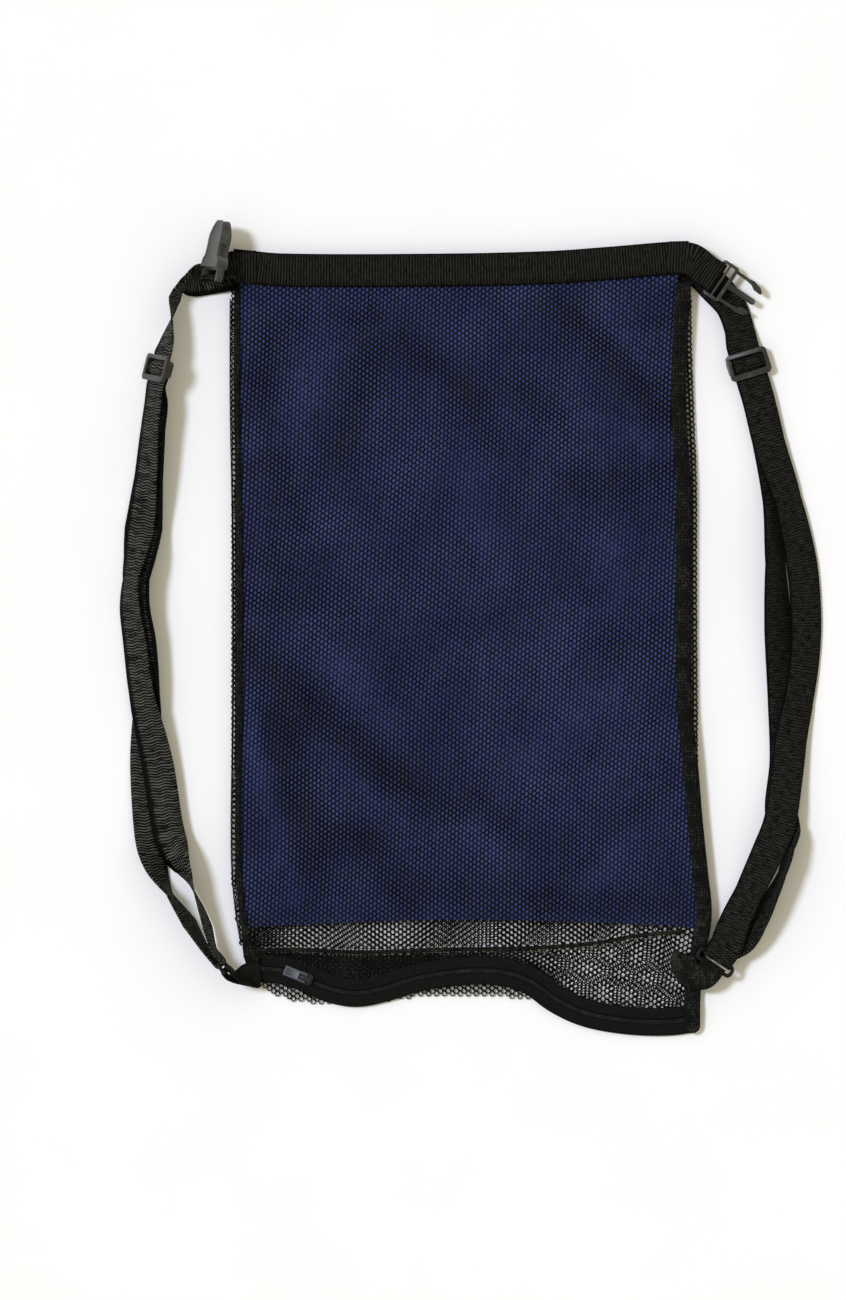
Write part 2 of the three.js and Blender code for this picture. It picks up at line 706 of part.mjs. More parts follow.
function crossBar(along, halfLength, radius = BAR_RADIUS) {
  const geometry = new THREE.CylinderGeometry(radius, radius, 2 * halfLength, BAR_SIDES);
  return toSolid(geometry.rotateY(Math.PI / BAR_SIDES).translate(along, 0, 0));
}

const mirrored = (rows) => [
  ...rows.map(({ along, half }) => [along, -half]),
  ...[...rows].reverse().map(({ along, half }) => [along, half]),
];

// A rectangle with its corners cut off
function cutRectangle(fromX, toX, halfY, cut) {
  return mirrored([
    { along: fromX, half: halfY - cut },
    { along: fromX + cut, half: halfY },
    { along: toX - cut, half: halfY },
    { along: toX, half: halfY - cut },
  ]);
}

// Back wall, flat on the floor
const EDGE_STEPS = 16;
const backPoints = [];
for (let k = 0; k <= EDGE_STEPS; k += 1) {
  const y = lerp(mouthEdge(MOUTH_LEFT), BACK_LEFT_END, k / EDGE_STEPS);
  backPoints.push([leftEdge(y), y]);
}
for (let k = 1; k <= EDGE_STEPS; k += 1) {
  const x = lerp(FOOT_LEFT, FOOT_RIGHT, k / EDGE_STEPS);
  backPoints.push([x, outline(x)]);
}
for (let k = 0; k <= EDGE_STEPS; k += 1) {
  const y = lerp(BACK_RIGHT_END, mouthEdge(MOUTH_RIGHT), k / EDGE_STEPS);
  backPoints.push([rightEdge(y), y]);
}
for (let k = 1; k < EDGE_STEPS / 2; k += 1) {
  const x = lerp(MOUTH_RIGHT, MOUTH_LEFT, k / (EDGE_STEPS / 2));
  backPoints.push([x, mouthEdge(x)]);
}
addPiece("back_net", toGeometry(plate(backPoints, 0, NET_WALL)), NET_BLACK);

// Front wall, and the lining that follows it cell by cell: the outermost cells reach past the lining
function frontY(j, x) {
  if (j === 0) {
    return mouthEdge(x);
  }
  if (j === FRONT_ROWS) {
    return seam(x);
  }
  return lerp(mouthEdge(x) - LINING_TOP, liningFoot(x), (j - 1) / (FRONT_ROWS - 2));
}
function frontX(i, y) {
  if (i === 0) {
    return frontLeft(y);
  }
  if (i === FRONT_COLUMNS) {
    return frontRight(y);
  }
  const across = (i - 1) / (FRONT_COLUMNS - 2);
  return lerp(leftEdge(y) + LINING_INSET_LEFT, welt(y) - LINING_INSET_RIGHT, across);
}
const SETTLING_ROUNDS = 4;
function frontPoint(i, j) {
  const p = new THREE.Vector3(frontX(i, 0), 0, 0);
  for (let round = 0; round < SETTLING_ROUNDS; round += 1) {
    p.y = frontY(j, p.x);
    p.x = frontX(i, p.y);
  }
  p.z = frontHeight(p.x, p.y);
  return p;
}
const frontFace = grid(FRONT_COLUMNS, FRONT_ROWS, frontPoint);
addPiece("front_net", clothWall(frontFace, lowered(frontFace, NET_WALL)), NET_BLACK);
const liningFace = lowered(
  frontFace.slice(1, FRONT_COLUMNS).map((line) => line.slice(1, FRONT_ROWS)),
  NET_WALL + GAP,
);
addPiece("lining", clothWall(liningFace, lowered(liningFace, LINING_WALL)), NAVY);

// Side walls, from under the front's edge to the back wall
const GUSSET_STEPS = 20;
const GUSSET_ROWS = 3;
const GUSSET_BULGE = 0.8;
const GUSSET_TOP_INSET = 1.2;
const GUSSET_FOOT_INSET = 1.4;
function gussetGrid(fromY, toY, topX, footX, outwards) {
  return grid(GUSSET_STEPS, GUSSET_ROWS, (i, j) => {
    const share = j / GUSSET_ROWS;
    const y = lerp(fromY, toY, i / GUSSET_STEPS);
    const top = frontHeight(topX(y), y) - NET_WALL - GAP - NET_WALL / 2;
    const foot = NET_WALL + GAP + NET_WALL / 2;
    const bulge = outwards * GUSSET_BULGE * Math.sin(Math.PI * share);
    return new THREE.Vector3(lerp(topX(y), footX(y), share) + bulge, y, lerp(top, foot, share));
  });
}
const gussetLeft = gussetGrid(
  GUSSET_TOP,
  GUSSET_LEFT_END,
  (y) => frontLeft(y) + GUSSET_TOP_INSET,
  (y) => leftEdge(y) + GUSSET_FOOT_INSET,
  -1,
);
addPiece("gusset_left", slopingWall(gussetLeft, NET_WALL), NET_BLACK);
const gussetRight = gussetGrid(
  GUSSET_RIGHT_END,
  GUSSET_TOP,
  (y) => frontRight(y) - GUSSET_TOP_INSET,
  (y) => rightEdge(y) - GUSSET_FOOT_INSET,
  1,
);
addPiece("gusset_right", slopingWall(gussetRight, NET_WALL), NET_BLACK);

// Cloth below the front's foot, on both sides of the zip
const FOOT_STEPS = 28;
const FOOT_INSET = 2;
const FOOT_SINK = 0.1;
const ZIP_OVERLAP = 4;
const zipMiddle = profile(ZIP, "x", "y");
function footGrid(fromY, toY, rows) {
  return grid(FOOT_STEPS, rows, (i, j) => {
    const p = new THREE.Vector3(lerp(FOOT_LEFT, FOOT_RIGHT, i / FOOT_STEPS), 0, 0);
    for (let round = 0; round < SETTLING_ROUNDS; round += 1) {
      p.y = lerp(fromY(p.x), toY(p.x), j / rows);
      p.x = lerp(leftEdge(p.y) + FOOT_INSET, rightEdge(p.y) - FOOT_INSET, i / FOOT_STEPS);
    }
    p.z = footHeight(p.x, p.y) - FOOT_SINK;
    return p;
  });
}
const footFront = footGrid((x) => seam(x) - SEAM_OPENING, (x) => zipMiddle(x) + ZIP_OVERLAP, 3);
addPiece("bottom_net_front", clothWall(footFront, lowered(footFront, NET_WALL)), NET_BLACK);
const footBack = footGrid((x) => zipMiddle(x) - ZIP_OVERLAP, (x) => outline(x), 2);
addPiece("bottom_net_back", clothWall(footBack, lowered(footBack, NET_WALL)), NET_BLACK);

// Webbing band round the mouth, on the front's outside and the back's inside
const BAND_STEPS = 18;
function bandStations(height, [fromX, toX]) {
  const rows = Array.from({ length: BAND_STEPS + 1 }, (_, k) => {
    const x = lerp(fromX, toX, k / BAND_STEPS);
    return { x, y: bandMiddle(x), z: height, tilt: 0 };
  });
  return stationsOf(rows);
}
const bandFront = bandStations(LOFT + GAP + WEB_WALL / 2, BAND_FRONT_ENDS);
addPiece("top_band_front", webbing(bandFront, WEB_WIDTH, WEB_WALL), WEB_BLACK);
const bandBack = bandStations(NET_WALL + GAP + WEB_WALL / 2, BAND_BACK_ENDS);
addPiece("top_band_back", webbing(bandBack, WEB_WIDTH, WEB_WALL), WEB_BLACK);

// Bound seams along both sides and the front's foot
const BINDING_STEPS = 26;
function bindingStations(middle, [fromY, toY]) {
  const rows = Array.from({ length: BINDING_STEPS + 1 }, (_, k) => {
    const y = lerp(fromY, toY, k / BINDING_STEPS);
    const x = middle(y);
    const under = y > seam(x) ? frontHeight(x, y) : footHeight(x, y) + TAPE_LIFT;
    return { x, y, z: under + BINDING_LIFT + BINDING_WALL / 2, tilt: 0 };
  });
  return stationsOf(rows);
}
const bindingLeft = bindingStations((y) => leftEdge(y) + BINDING_LEFT_INSET, BINDING_LEFT_ENDS);
addPiece("side_binding_left", webbing(bindingLeft, BINDING_LEFT_WIDTH, BINDING_WALL), TAPE_BLACK);
const bindingRight = bindingStations(welt, BINDING_RIGHT_ENDS);
addPiece("side_binding_right", webbing(bindingRight, BINDING_RIGHT_WIDTH, BINDING_WALL), TAPE_BLACK);
const seamRows = Array.from({ length: BINDING_STEPS + 1 }, (_, k) => {
  const x = lerp(...SEAM_BINDING_ENDS, k / BINDING_STEPS);
  const z = frontHeight(x, seam(x)) + BINDING_LIFT + BINDING_WALL / 2;
  return { x, y: seam(x), z, tilt: 0 };
});
addPiece("seam_binding", webbing(stationsOf(seamRows), SEAM_BINDING_WIDTH, BINDING_WALL), TAPE_BLACK);

// Zip: two tapes, and the coil that closes between them
const zipPath = new THREE.CatmullRomCurve3(ZIP.map(({ x, y }) => {
  return new THREE.Vector3(x, y, footHeight(x, y) + TAPE_LIFT + COIL_RADIUS - COIL_SINK);
}));
const zipPoints = zipPath.getSpacedPoints(ZIP_STEPS);
function tapeGrid(fromReach, toReach) {
  return grid(ZIP_STEPS, 1, (i, j) => {
    const before = zipPoints[Math.max(i - 1, 0)];
    const after = zipPoints[Math.min(i + 1, ZIP_STEPS)];
    const heading = Math.atan2(after.y - before.y, after.x - before.x);
    const reach = j === 0 ? fromReach : toReach;
    const x = zipPoints[i].x - reach * Math.sin(heading);
    const y = zipPoints[i].y + reach * Math.cos(heading);
    return new THREE.Vector3(x, y, footHeight(x, y) + TAPE_LIFT + TAPE_WALL);
  });
}
const tapeNear = COIL_RADIUS + COIL_ROOM;
const tapeFront = tapeGrid(tapeNear + TAPE_WIDTH, tapeNear);
addPiece("zip_tape_front", clothWall(tapeFront, lowered(tapeFront, TAPE_WALL)), TAPE_BLACK);
const tapeBack = tapeGrid(-tapeNear, -tapeNear - TAPE_WIDTH);
addPiece("zip_tape_back", clothWall(tapeBack, lowered(tapeBack, TAPE_WALL)), TAPE_BLACK);
const coilSection = new THREE.Shape(Array.from({ length: COIL_SIDES }, (_, k) => {
  const angle = 2 * Math.PI * k / COIL_SIDES;
  return new THREE.Vector2(COIL_RADIUS * Math.cos(angle), COIL_RADIUS * Math.sin(angle));
}));
const coil = new THREE.ExtrudeGeometry(coilSection, {
  steps: ZIP_STEPS,
  bevelEnabled: false,
  extrudePath: zipPath,
});
addPiece("zip_coil", coil, COIL_BLACK);

// Slider over the coil, with a crown that holds the pull's pin
const sliderGroup = new THREE.Group();
const sliderMiddle = zipPath.getPointAt(SLIDER_SHARE);
const sliderRun = zipPath.getTangentAt(SLIDER_SHARE);
sliderGroup.position.copy(sliderMiddle);
sliderGroup.rotation.z = Math.atan2(sliderRun.y, sliderRun.x);
bag.add(sliderGroup);
const plateBase = COIL_RADIUS + GAP + SLIDER_ROOM;
const plateTop = plateBase + SLIDER_WALL;
const crownTop = plateTop + CROWN_HEIGHT;
const sliderPlan = cutRectangle(-SLIDER_LENGTH / 2, SLIDER_LENGTH / 2, SLIDER_WIDTH / 2, SLIDER_CORNER);
let slider = plate(sliderPlan, SLIDER_FLANGE_FOOT, plateTop);
slider = slider.subtract(box(-CUT, CUT, SLIDER_WIDTH / 2 - SLIDER_FLANGE, -CUT, plateBase));
slider = slider.add(box(-CROWN_LENGTH / 2, CROWN_LENGTH / 2, CROWN_WIDTH / 2, plateBase, crownTop));
const archHalf = CROWN_LENGTH / 2 - CROWN_WALL;
slider = slider.subtract(box(-archHalf, archHalf, CROWN_WIDTH, plateTop, crownTop - CROWN_WALL));
addPiece("zip_slider", toGeometry(slider), COIL_BLACK, sliderGroup);

// Pull tab, lying back along the zip from its pin under the crown
const pinHalf = PULL_WALL / 2;
const pullPlan = cutRectangle(-PULL_LENGTH, pinHalf, PULL_WIDTH / 2, PULL_CORNER);
let pull = plate(pullPlan, -pinHalf, pinHalf);
pull = pull.subtract(box(-PULL_WINDOW, -pinHalf, PULL_WIDTH / 2 - PULL_RAIL, -PULL_WALL, PULL_WALL));
const pullMesh = addPiece("zip_pull", toGeometry(pull), PULL_GREY, sliderGroup);
pullMesh.position.z = plateTop + (CROWN_HEIGHT - CROWN_WALL) / 2;
pullMesh.rotation.y = -degToRad(PULL_DROOP);

// Shoulder straps with their sliders and rings
const STRAP_SPACING = 11;
const TAB_SPACING = 5.1;
function addStrap(sideName, strap, tab, material) {
  const glide = seatOf(strap.slider);
  const ring = seatOf(strap.ring);
  const glideStation = (side) => ({ along, out }) => ({ p: seatPoint(glide, along, out), side });
  const backSide = glide.side.clone().multiplyScalar(strap.backTurn);
  const barLoop = [0, ...LOOP_ANGLES, 180].map((angle) => ({
    along: -LOOP_RADIUS * Math.sin(degToRad(angle)),
    out: -GLIDE_BAR_DROP - LOOP_RADIUS * Math.cos(degToRad(angle)),
  }));
  const sewnEnd = [...GLIDE_UNDER, ...barLoop].map(glideStation(backSide));
  const stations = [
    ...stationsOf(strap.upper),
    ...GLIDE_OVER.map(glideStation(glide.side)),
    ...stationsOf(strap.front),
    ...roundBar(ring, -RING_REACH, 1, strap.frontFace, ring.side, STRAP_LOOP_REACH),
    ...stationsOf(strap.back).reverse(),
    ...sewnEnd,
  ];
  const strapWall = webbing(smoothStations(stations, STRAP_SPACING), WEB_WIDTH, WEB_WALL);
  addPiece(`strap_${sideName}`, strapWall, material);
  placeOn(addPiece(`triglide_${sideName}`, toGeometry(triglideSolid()), PLASTIC), glide, GLIDE_BAR_DROP);
  placeOn(addPiece(`ring_${sideName}`, toGeometry(ringSolid()), PLASTIC), ring);
  const tabSide = ring.side.clone().multiplyScalar(tab.turn);
  const tabStations = [
    ...stationsOf(tab.over),
    ...roundBar(ring, RING_REACH, -1, tab.face, tabSide, tab.reach),
    ...stationsOf(tab.under).reverse(),
  ];
  const tabWall = webbing(smoothStations(tabStations, TAB_SPACING), RING_TAB_WIDTH, WEB_WALL);
  addPiece(`ring_tab_${sideName}`, tabWall, WEB_BLACK);
}

// Strap slider: a frame, side rails that drop below it, and a middle bar between the rails
function triglideSolid() {
  const base = GLIDE_BAR_DROP + GLIDE_FRAME_BASE;
  const top = base + GLIDE_FRAME_WALL;
  const rails = cutRectangle(-GLIDE_RAIL, GLIDE_RAIL, GLIDE_HALF_WIDTH, FRAME_CORNER);
  let solid = plate(cutRectangle(...GLIDE_FRAME, GLIDE_HALF_WIDTH, FRAME_CORNER), base, top);
  solid = solid.add(plate(rails, -BAR_RADIUS, top));
  solid = solid.subtract(box(-GLIDE_WINDOW, GLIDE_WINDOW, BUCKLE_HALF_SLOT, -CUT, CUT));
  solid = solid.subtract(box(-CUT, CUT, BUCKLE_HALF_SLOT, -CUT, base));
  return solid.add(crossBar(0, BUCKLE_HALF_SLOT + 1));
}

// Plastic loop at a bottom corner: two round bars and two round ends
function ringSolid() {
  let solid = crossBar(-RING_REACH, RING_HALF_WIDTH + BAR_RADIUS);
  solid = solid.add(crossBar(RING_REACH, RING_HALF_WIDTH + BAR_RADIUS));
  [-1, 1].forEach((end) => {
    const rail = new THREE.CylinderGeometry(BAR_RADIUS, BAR_RADIUS, 2 * RING_REACH, BAR_SIDES);
    rail.rotateY(Math.PI / BAR_SIDES).rotateZ(Math.PI / 2).translate(0, end * RING_HALF_WIDTH, 0);
    solid = solid.add(toSolid(rail));
  });
  return solid;
}

addStrap("left", STRAP_LEFT, RING_TAB_LEFT, WEB_GREY);
addStrap("right", STRAP_RIGHT, RING_TAB_RIGHT, WEB_BLACK);

// Male half of the buckle: a frame with two slots, two springy arms and a middle guide
const male = seatOf(MALE);
const malePlan = cutRectangle(-BAR_RADIUS, MALE_FRAME_END, MALE_HALF_WIDTH, BAR_RADIUS);
let maleSolid = plate(malePlan, -MALE_THICKNESS / 2, MALE_THICKNESS / 2);
maleSolid = maleSolid.subtract(box(-CUT, MALE_FIRST_SLOT_END, BUCKLE_HALF_SLOT, -CUT, CUT));
maleSolid = maleSolid.subtract(box(...MALE_SECOND_SLOT, BUCKLE_HALF_SLOT, -CUT, CUT));
maleSolid = maleSolid.add(crossBar(0, BUCKLE_HALF_SLOT + 1));
[1, -1].forEach((turn) => {
  const points = PRONG_OUTLINE.map(({ along, half }) => [along, turn * half]);
  const prong = plate(turn > 0 ? points.reverse() : points, -PRONG_THICKNESS / 2, PRONG_THICKNESS / 2);
  maleSolid = maleSolid.add(prong);
});
maleSolid = maleSolid.add(plate(mirrored(GUIDE_OUTLINE), -PRONG_THICKNESS / 2, PRONG_THICKNESS / 2));
placeOn(addPiece("buckle_male", toGeometry(maleSolid), PLASTIC), male);

const tabRight = [
  ...stationsOf(BUCKLE_TAB_RIGHT.over),
  ...roundBar(male, 0, 1, 1, male.side, BUCKLE_LOOP_REACH),
  ...stationsOf(BUCKLE_TAB_RIGHT.under).reverse(),
];
const tabRightRun = smoothStations(tabRight, TAB_SPACING);
addPiece("buckle_tab_right", webbing(tabRightRun, WEB_WIDTH, WEB_WALL), WEB_BLACK);

// Female half: a hollow body with side windows and a thinner nose, and a slotted frame for the webbing
const female = seatOf(FEMALE);
const femaleHalf = FEMALE_THICKNESS / 2;
const noseHalf = FEMALE_NOSE_THICKNESS / 2;
const frameHalf = FEMALE_FRAME_THICKNESS / 2;
const noseEnd = FEMALE_OUTLINE[FEMALE_OUTLINE.length - 1].along;
const sideView = plate(mirrored([
  { along: -CUT, half: femaleHalf },
  { along: FEMALE_NOSE_FROM, half: femaleHalf },
  { along: noseEnd, half: noseHalf },
]), -CUT, CUT).rotate([90, 0, 0]);
let femaleSolid = plate(mirrored(FEMALE_OUTLINE), -femaleHalf, femaleHalf).intersect(sideView);
femaleSolid = femaleSolid.subtract(box(-CUT, FEMALE_FRAME_END, CUT, frameHalf, CUT));
femaleSolid = femaleSolid.subtract(box(-CUT, FEMALE_FRAME_END, CUT, -CUT, -frameHalf));
femaleSolid = femaleSolid.subtract(box(-CUT, FEMALE_SLOT_END, BUCKLE_HALF_SLOT, -CUT, CUT));
const socket = [SOCKET_HALF_WIDTH, -SOCKET_HALF_HEIGHT, SOCKET_HALF_HEIGHT];
femaleSolid = femaleSolid.subtract(box(SOCKET_FROM, CUT, ...socket));
femaleSolid = femaleSolid.subtract(box(...FEMALE_WINDOW, CUT, -SOCKET_HALF_HEIGHT, SOCKET_HALF_HEIGHT));
femaleSolid = femaleSolid.add(crossBar(0, BUCKLE_HALF_SLOT + 1));
placeOn(addPiece("buckle_female", toGeometry(femaleSolid), PLASTIC), female);

// The left tab reaches the tilted female half from behind
const pullLeft = { p: female.p, along: female.out.clone().negate(), side: female.side, out: female.along };
const tabLeft = [
  ...stationsOf(BUCKLE_TAB_LEFT),
  ...roundBar(pullLeft, 0, 1, 1, female.side, BUCKLE_LOOP_REACH),
];
const tabLeftRun = smoothStations(tabLeft, TAB_SPACING);
addPiece("buckle_tab_left", webbing(tabLeftRun, WEB_WIDTH, WEB_WALL), WEB_BLACK);

export default bag;
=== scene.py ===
# %% [markdown]
# # A net backpack laid on its back
# The bag lies flat: a front and a back of black net with hexagonal holes, a navy cloth behind the front,
# ribbed webbing round the mouth and at the shoulders, plastic fittings, and a zip along the bottom.
# Every piece is made at its real place, in the same frame as the solid model, so nothing has to be fitted.

# %% Load the solid model
from math import radians

import bpy
import numpy as np
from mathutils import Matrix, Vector


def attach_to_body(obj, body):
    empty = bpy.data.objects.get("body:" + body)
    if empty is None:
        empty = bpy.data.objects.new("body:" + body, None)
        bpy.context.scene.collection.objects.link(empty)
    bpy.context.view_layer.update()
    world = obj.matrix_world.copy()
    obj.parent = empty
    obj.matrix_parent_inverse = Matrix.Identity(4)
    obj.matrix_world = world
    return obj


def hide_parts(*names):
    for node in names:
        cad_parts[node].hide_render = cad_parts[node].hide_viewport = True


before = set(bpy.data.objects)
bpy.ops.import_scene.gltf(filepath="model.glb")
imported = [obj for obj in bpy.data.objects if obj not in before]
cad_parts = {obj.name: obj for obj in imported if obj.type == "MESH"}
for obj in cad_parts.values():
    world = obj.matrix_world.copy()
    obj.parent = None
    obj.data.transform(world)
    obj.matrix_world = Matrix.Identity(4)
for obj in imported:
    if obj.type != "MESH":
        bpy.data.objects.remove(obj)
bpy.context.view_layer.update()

MM = 0.001

# %% [markdown]
# ## Camera, floor and light
# The bag is seen from straight above, so the camera hangs over it with no turn at all. Its lens is worked
# out from the length of floor that it has to take in. One sun with a wide disc gives the soft shadows that
# fall to the lower right, and a warm sky fills them: where the sun is hidden, the floor turns beige.

# %% Camera
VIEW_MIDDLE = (-37.2, -17.1)
VIEW_HEIGHT = 988.0
CAMERA_HEIGHT = 6000.0
SENSOR_HEIGHT = 24.0

bpy.ops.object.select_all(action="DESELECT")
bpy.ops.object.camera_add(location=(VIEW_MIDDLE[0] * MM, VIEW_MIDDLE[1] * MM, CAMERA_HEIGHT * MM))
camera = bpy.context.object
camera.data.sensor_fit = "VERTICAL"
camera.data.sensor_height = SENSOR_HEIGHT
camera.data.lens = SENSOR_HEIGHT * CAMERA_HEIGHT / VIEW_HEIGHT
camera.rotation_euler = (0, 0, 0)
bpy.context.scene.camera = camera
bpy.context.scene.view_settings.view_transform = "Standard"
print("lens", round(camera.data.lens, 1), "mm")

# %% Light
SUN_FROM = Vector((-0.58, 0.24, 1.0))
SUN_STRENGTH = 1.9
SUN_DISC = radians(12)
SUN_COLOUR = (0.9, 0.96, 1.18)
SKY_COLOUR = (1.0, 0.93, 0.72)
SKY_STRENGTH = 0.62

bpy.ops.object.light_add(type="SUN", location=(-1.2, 0.6, 1.5))
sun = bpy.context.object
sun.rotation_euler = SUN_FROM.to_track_quat("Z", "Y").to_euler()
sun.data.energy = SUN_STRENGTH
sun.data.angle = SUN_DISC
sun.data.color = SUN_COLOUR
if bpy.context.scene.world is None:
    bpy.context.scene.world = bpy.data.worlds.new("studio")
world = bpy.context.scene.world
world.use_nodes = True
sky = world.node_tree.nodes["Background"]
sky.inputs["Color"].default_value = (*SKY_COLOUR, 1)
sky.inputs["Strength"].default_value = SKY_STRENGTH
print("sun from", [round(value, 2) for value in SUN_FROM.normalized()])

# %% [markdown]
# ## Finishes
# A finish is a small tree of nodes. Each one below starts from the plain surface shader and adds the detail
# of the real stuff at its real size: ribs in the webbing, a plain weave in the lining, knitted yarn in the
# net, fine grain in the moulded plastic. A helper adds a node and sets its inputs, to keep the trees short.

# %% Helpers for finishes
def new_finish(name, roughness, specular=0.5):
    finish = bpy.data.materials.new(name)
    finish.use_nodes = True
    shader = finish.node_tree.nodes["Principled BSDF"]
    shader.inputs["Roughness"].default_value = roughness
    shader.inputs["Specular IOR Level"].default_value = specular
    return finish


def add_node(finish, kind, settings=None, **inputs):
    node = finish.node_tree.nodes.new(kind)
    for key, value in (settings or {}).items():
        setattr(node, key, value)
    for key, value in inputs.items():
        socket = node.inputs[key.replace("_", " ")]
        if isinstance(value, bpy.types.NodeSocket):
            finish.node_tree.links.new(value, socket)
        else:
            socket.default_value = value
    return node


def coordinates(finish, output="Object"):
    return add_node(finish, "ShaderNodeTexCoord").outputs[output]


def calculate(finish, operation, first, second=0.5):
    node = add_node(finish, "ShaderNodeMath", {"operation": operation})
    for socket, value in zip(node.inputs, (first, second)):
        if isinstance(value, bpy.types.NodeSocket):
            finish.node_tree.links.new(value, socket)
        else:
            socket.default_value = value
    return node.outputs[0]


def tones(finish, factor, *stops):
    ramp = add_node(finish, "ShaderNodeValToRGB", Fac=factor)
    while len(ramp.color_ramp.elements) < len(stops):
        ramp.color_ramp.elements.new(0.5)
    for element, (place, colour) in zip(ramp.color_ramp.elements, stops):
        element.position = place
        element.color = (*colour, 1)
    return ramp.outputs["Color"]


def colour_from(finish, socket):
    shader = finish.node_tree.nodes["Principled BSDF"]
    finish.node_tree.links.new(socket, shader.inputs["Base Color"])


def relief(finish, height, depth, strength=1.0):
    shader = finish.node_tree.nodes["Principled BSDF"]
    bump = add_node(finish, "ShaderNodeBump", Height=height, Distance=depth, Strength=strength)
    finish.node_tree.links.new(bump.outputs["Normal"], shader.inputs["Normal"])


def roughness_from(finish, factor, low, high):
    shader = finish.node_tree.nodes["Principled BSDF"]
    spread = add_node(finish, "ShaderNodeMapRange", Value=factor, To_Min=low, To_Max=high)
    finish.node_tree.links.new(spread.outputs[0], shader.inputs["Roughness"])


def waves(finish, value, period):
    """A sine of a length in metres, from 0 to 1."""
    turn = calculate(finish, "MULTIPLY", value, 2 * np.pi / period)
    return calculate(finish, "MULTIPLY_ADD", calculate(finish, "SINE", turn), 0.5)


print("finish helpers ready")

# %% [markdown]
# ### Net yarn and lining
# The net is knitted from black yarn, a little lighter where the fibres catch the light. The lining is a plain
# weave in navy: two sets of threads, over and under each other every 0.9 mm.

# %% Net yarn and lining
LINING_THREAD = 0.0009


def yarn_finish():
    finish = new_finish("net_yarn", roughness=0.7, specular=0.08)
    fibre = add_node(finish, "ShaderNodeTexNoise", Vector=coordinates(finish), Scale=2600, Detail=2)
    patch = add_node(finish, "ShaderNodeTexNoise", Vector=coordinates(finish), Scale=55, Detail=1)
    mixed = calculate(finish, "MULTIPLY", fibre.outputs["Fac"], patch.outputs["Fac"])
    colour_from(finish, tones(
        finish, mixed, (0.12, (0.001, 0.0011, 0.001)), (0.45, (0.008, 0.0086, 0.0074)),
    ))
    relief(finish, fibre.outputs["Fac"], 0.00015, 0.5)
    return finish


def lining_finish():
    finish = new_finish("navy_cloth", roughness=0.7, specular=0.08)
    place = add_node(finish, "ShaderNodeSeparateXYZ", Vector=coordinates(finish))
    warp = waves(finish, place.outputs["X"], LINING_THREAD)
    weft = waves(finish, place.outputs["Y"], LINING_THREAD)
    weave = calculate(finish, "MULTIPLY", warp, weft)
    cloud = add_node(finish, "ShaderNodeTexNoise", Vector=coordinates(finish), Scale=22, Detail=5)
    mixed = calculate(finish, "ADD", calculate(finish, "MULTIPLY", weave, 0.35), cloud.outputs["Fac"])
    colour_from(finish, tones(
        finish, mixed,
        (0.3, (0.023, 0.030, 0.100)), (0.6, (0.036, 0.047, 0.144)), (0.9, (0.060, 0.075, 0.203)),
    ))
    relief(finish, weave, 0.0002, 0.6)
    return finish


net_yarn = yarn_finish()
navy_cloth = lining_finish()
print("finishes", net_yarn.name, navy_cloth.name)

# %% [markdown]
# ### Webbing and tape
# Webbing is woven with ribs across it. On the straps the ribs waver, turning back every 1.4 mm, and on the
# mouth band they run straight. Yarns that lie proud break them into dashes, three times as long across the
# webbing as along it. Ribs and dashes read the strip's own UV map, which is in metres along and across the
# strip, so they follow each turn. The bound seams are doubled net, so their finish is a field of small
# cells.

# %% Webbing and tape
WEB_WIDTH = 25.0
EDGE_SHADE_REACH = 0.0014
YARN_SCALE = 620
YARN_STRETCH = 0.33
RELIEF_SUM = 3.5
SHADE_SHARE = 0.4
RIB_SLOPE = 0.16
SOFT_RAMP = (0.45, 0.95)
RIBBED_RAMP = (0.68, 0.9)
RIB_PERIOD = 0.0022
WAVER = 0.0014
STRAIGHT = 0.00001


def webbing_finish(name, dark, light, period, turn_back, rib_share=1.5, ramp=SOFT_RAMP):
    """Ribs across a webbing, broken by proud yarns; painted light where they lie proud, painted shade in the
    grooves and at its edges.
    """
    finish = new_finish(name, roughness=0.66, specular=0.08)
    woven = coordinates(finish, "UV")
    place = add_node(finish, "ShaderNodeSeparateXYZ", Vector=woven)
    slant = calculate(finish, "PINGPONG", place.outputs["Y"], turn_back)
    rib = waves(finish, calculate(finish, "ADD", place.outputs["X"], slant), period)
    fibre = add_node(finish, "ShaderNodeTexNoise", Vector=coordinates(finish), Scale=1500, Detail=2)
    crosswise = add_node(finish, "ShaderNodeMapping", Vector=woven, Scale=(1, YARN_STRETCH, 1))
    yarn = add_node(
        finish, "ShaderNodeTexNoise", Vector=crosswise.outputs["Vector"], Scale=YARN_SCALE, Detail=2,
    )
    proud_rib = calculate(finish, "MULTIPLY", rib, rib_share)
    proud_yarn = calculate(finish, "MULTIPLY", yarn.outputs["Fac"], RELIEF_SUM - rib_share)
    proud = calculate(finish, "ADD", proud_rib, proud_yarn)
    # Painted shade towards both edges, and painted light on the proud ribs and yarns.
    edge = calculate(finish, "PINGPONG", place.outputs["Y"], WEB_WIDTH / 2 * MM)
    edge_shade = add_node(finish, "ShaderNodeMapRange", Value=edge, From_Max=EDGE_SHADE_REACH, To_Min=0.35, To_Max=1.0)
    lit = calculate(finish, "MULTIPLY", proud, edge_shade.outputs[0])
    shade = calculate(finish, "MULTIPLY", lit, SHADE_SHARE)
    colour_from(finish, tones(finish, shade, (ramp[0], dark), (ramp[1], light)))
    roughness_from(finish, fibre.outputs["Fac"], 0.55, 0.8)
    fuzz = calculate(finish, "MULTIPLY", fibre.outputs["Fac"], 0.3)
    relief(finish, calculate(finish, "ADD", rib, fuzz), RIB_SLOPE * period)
    return finish


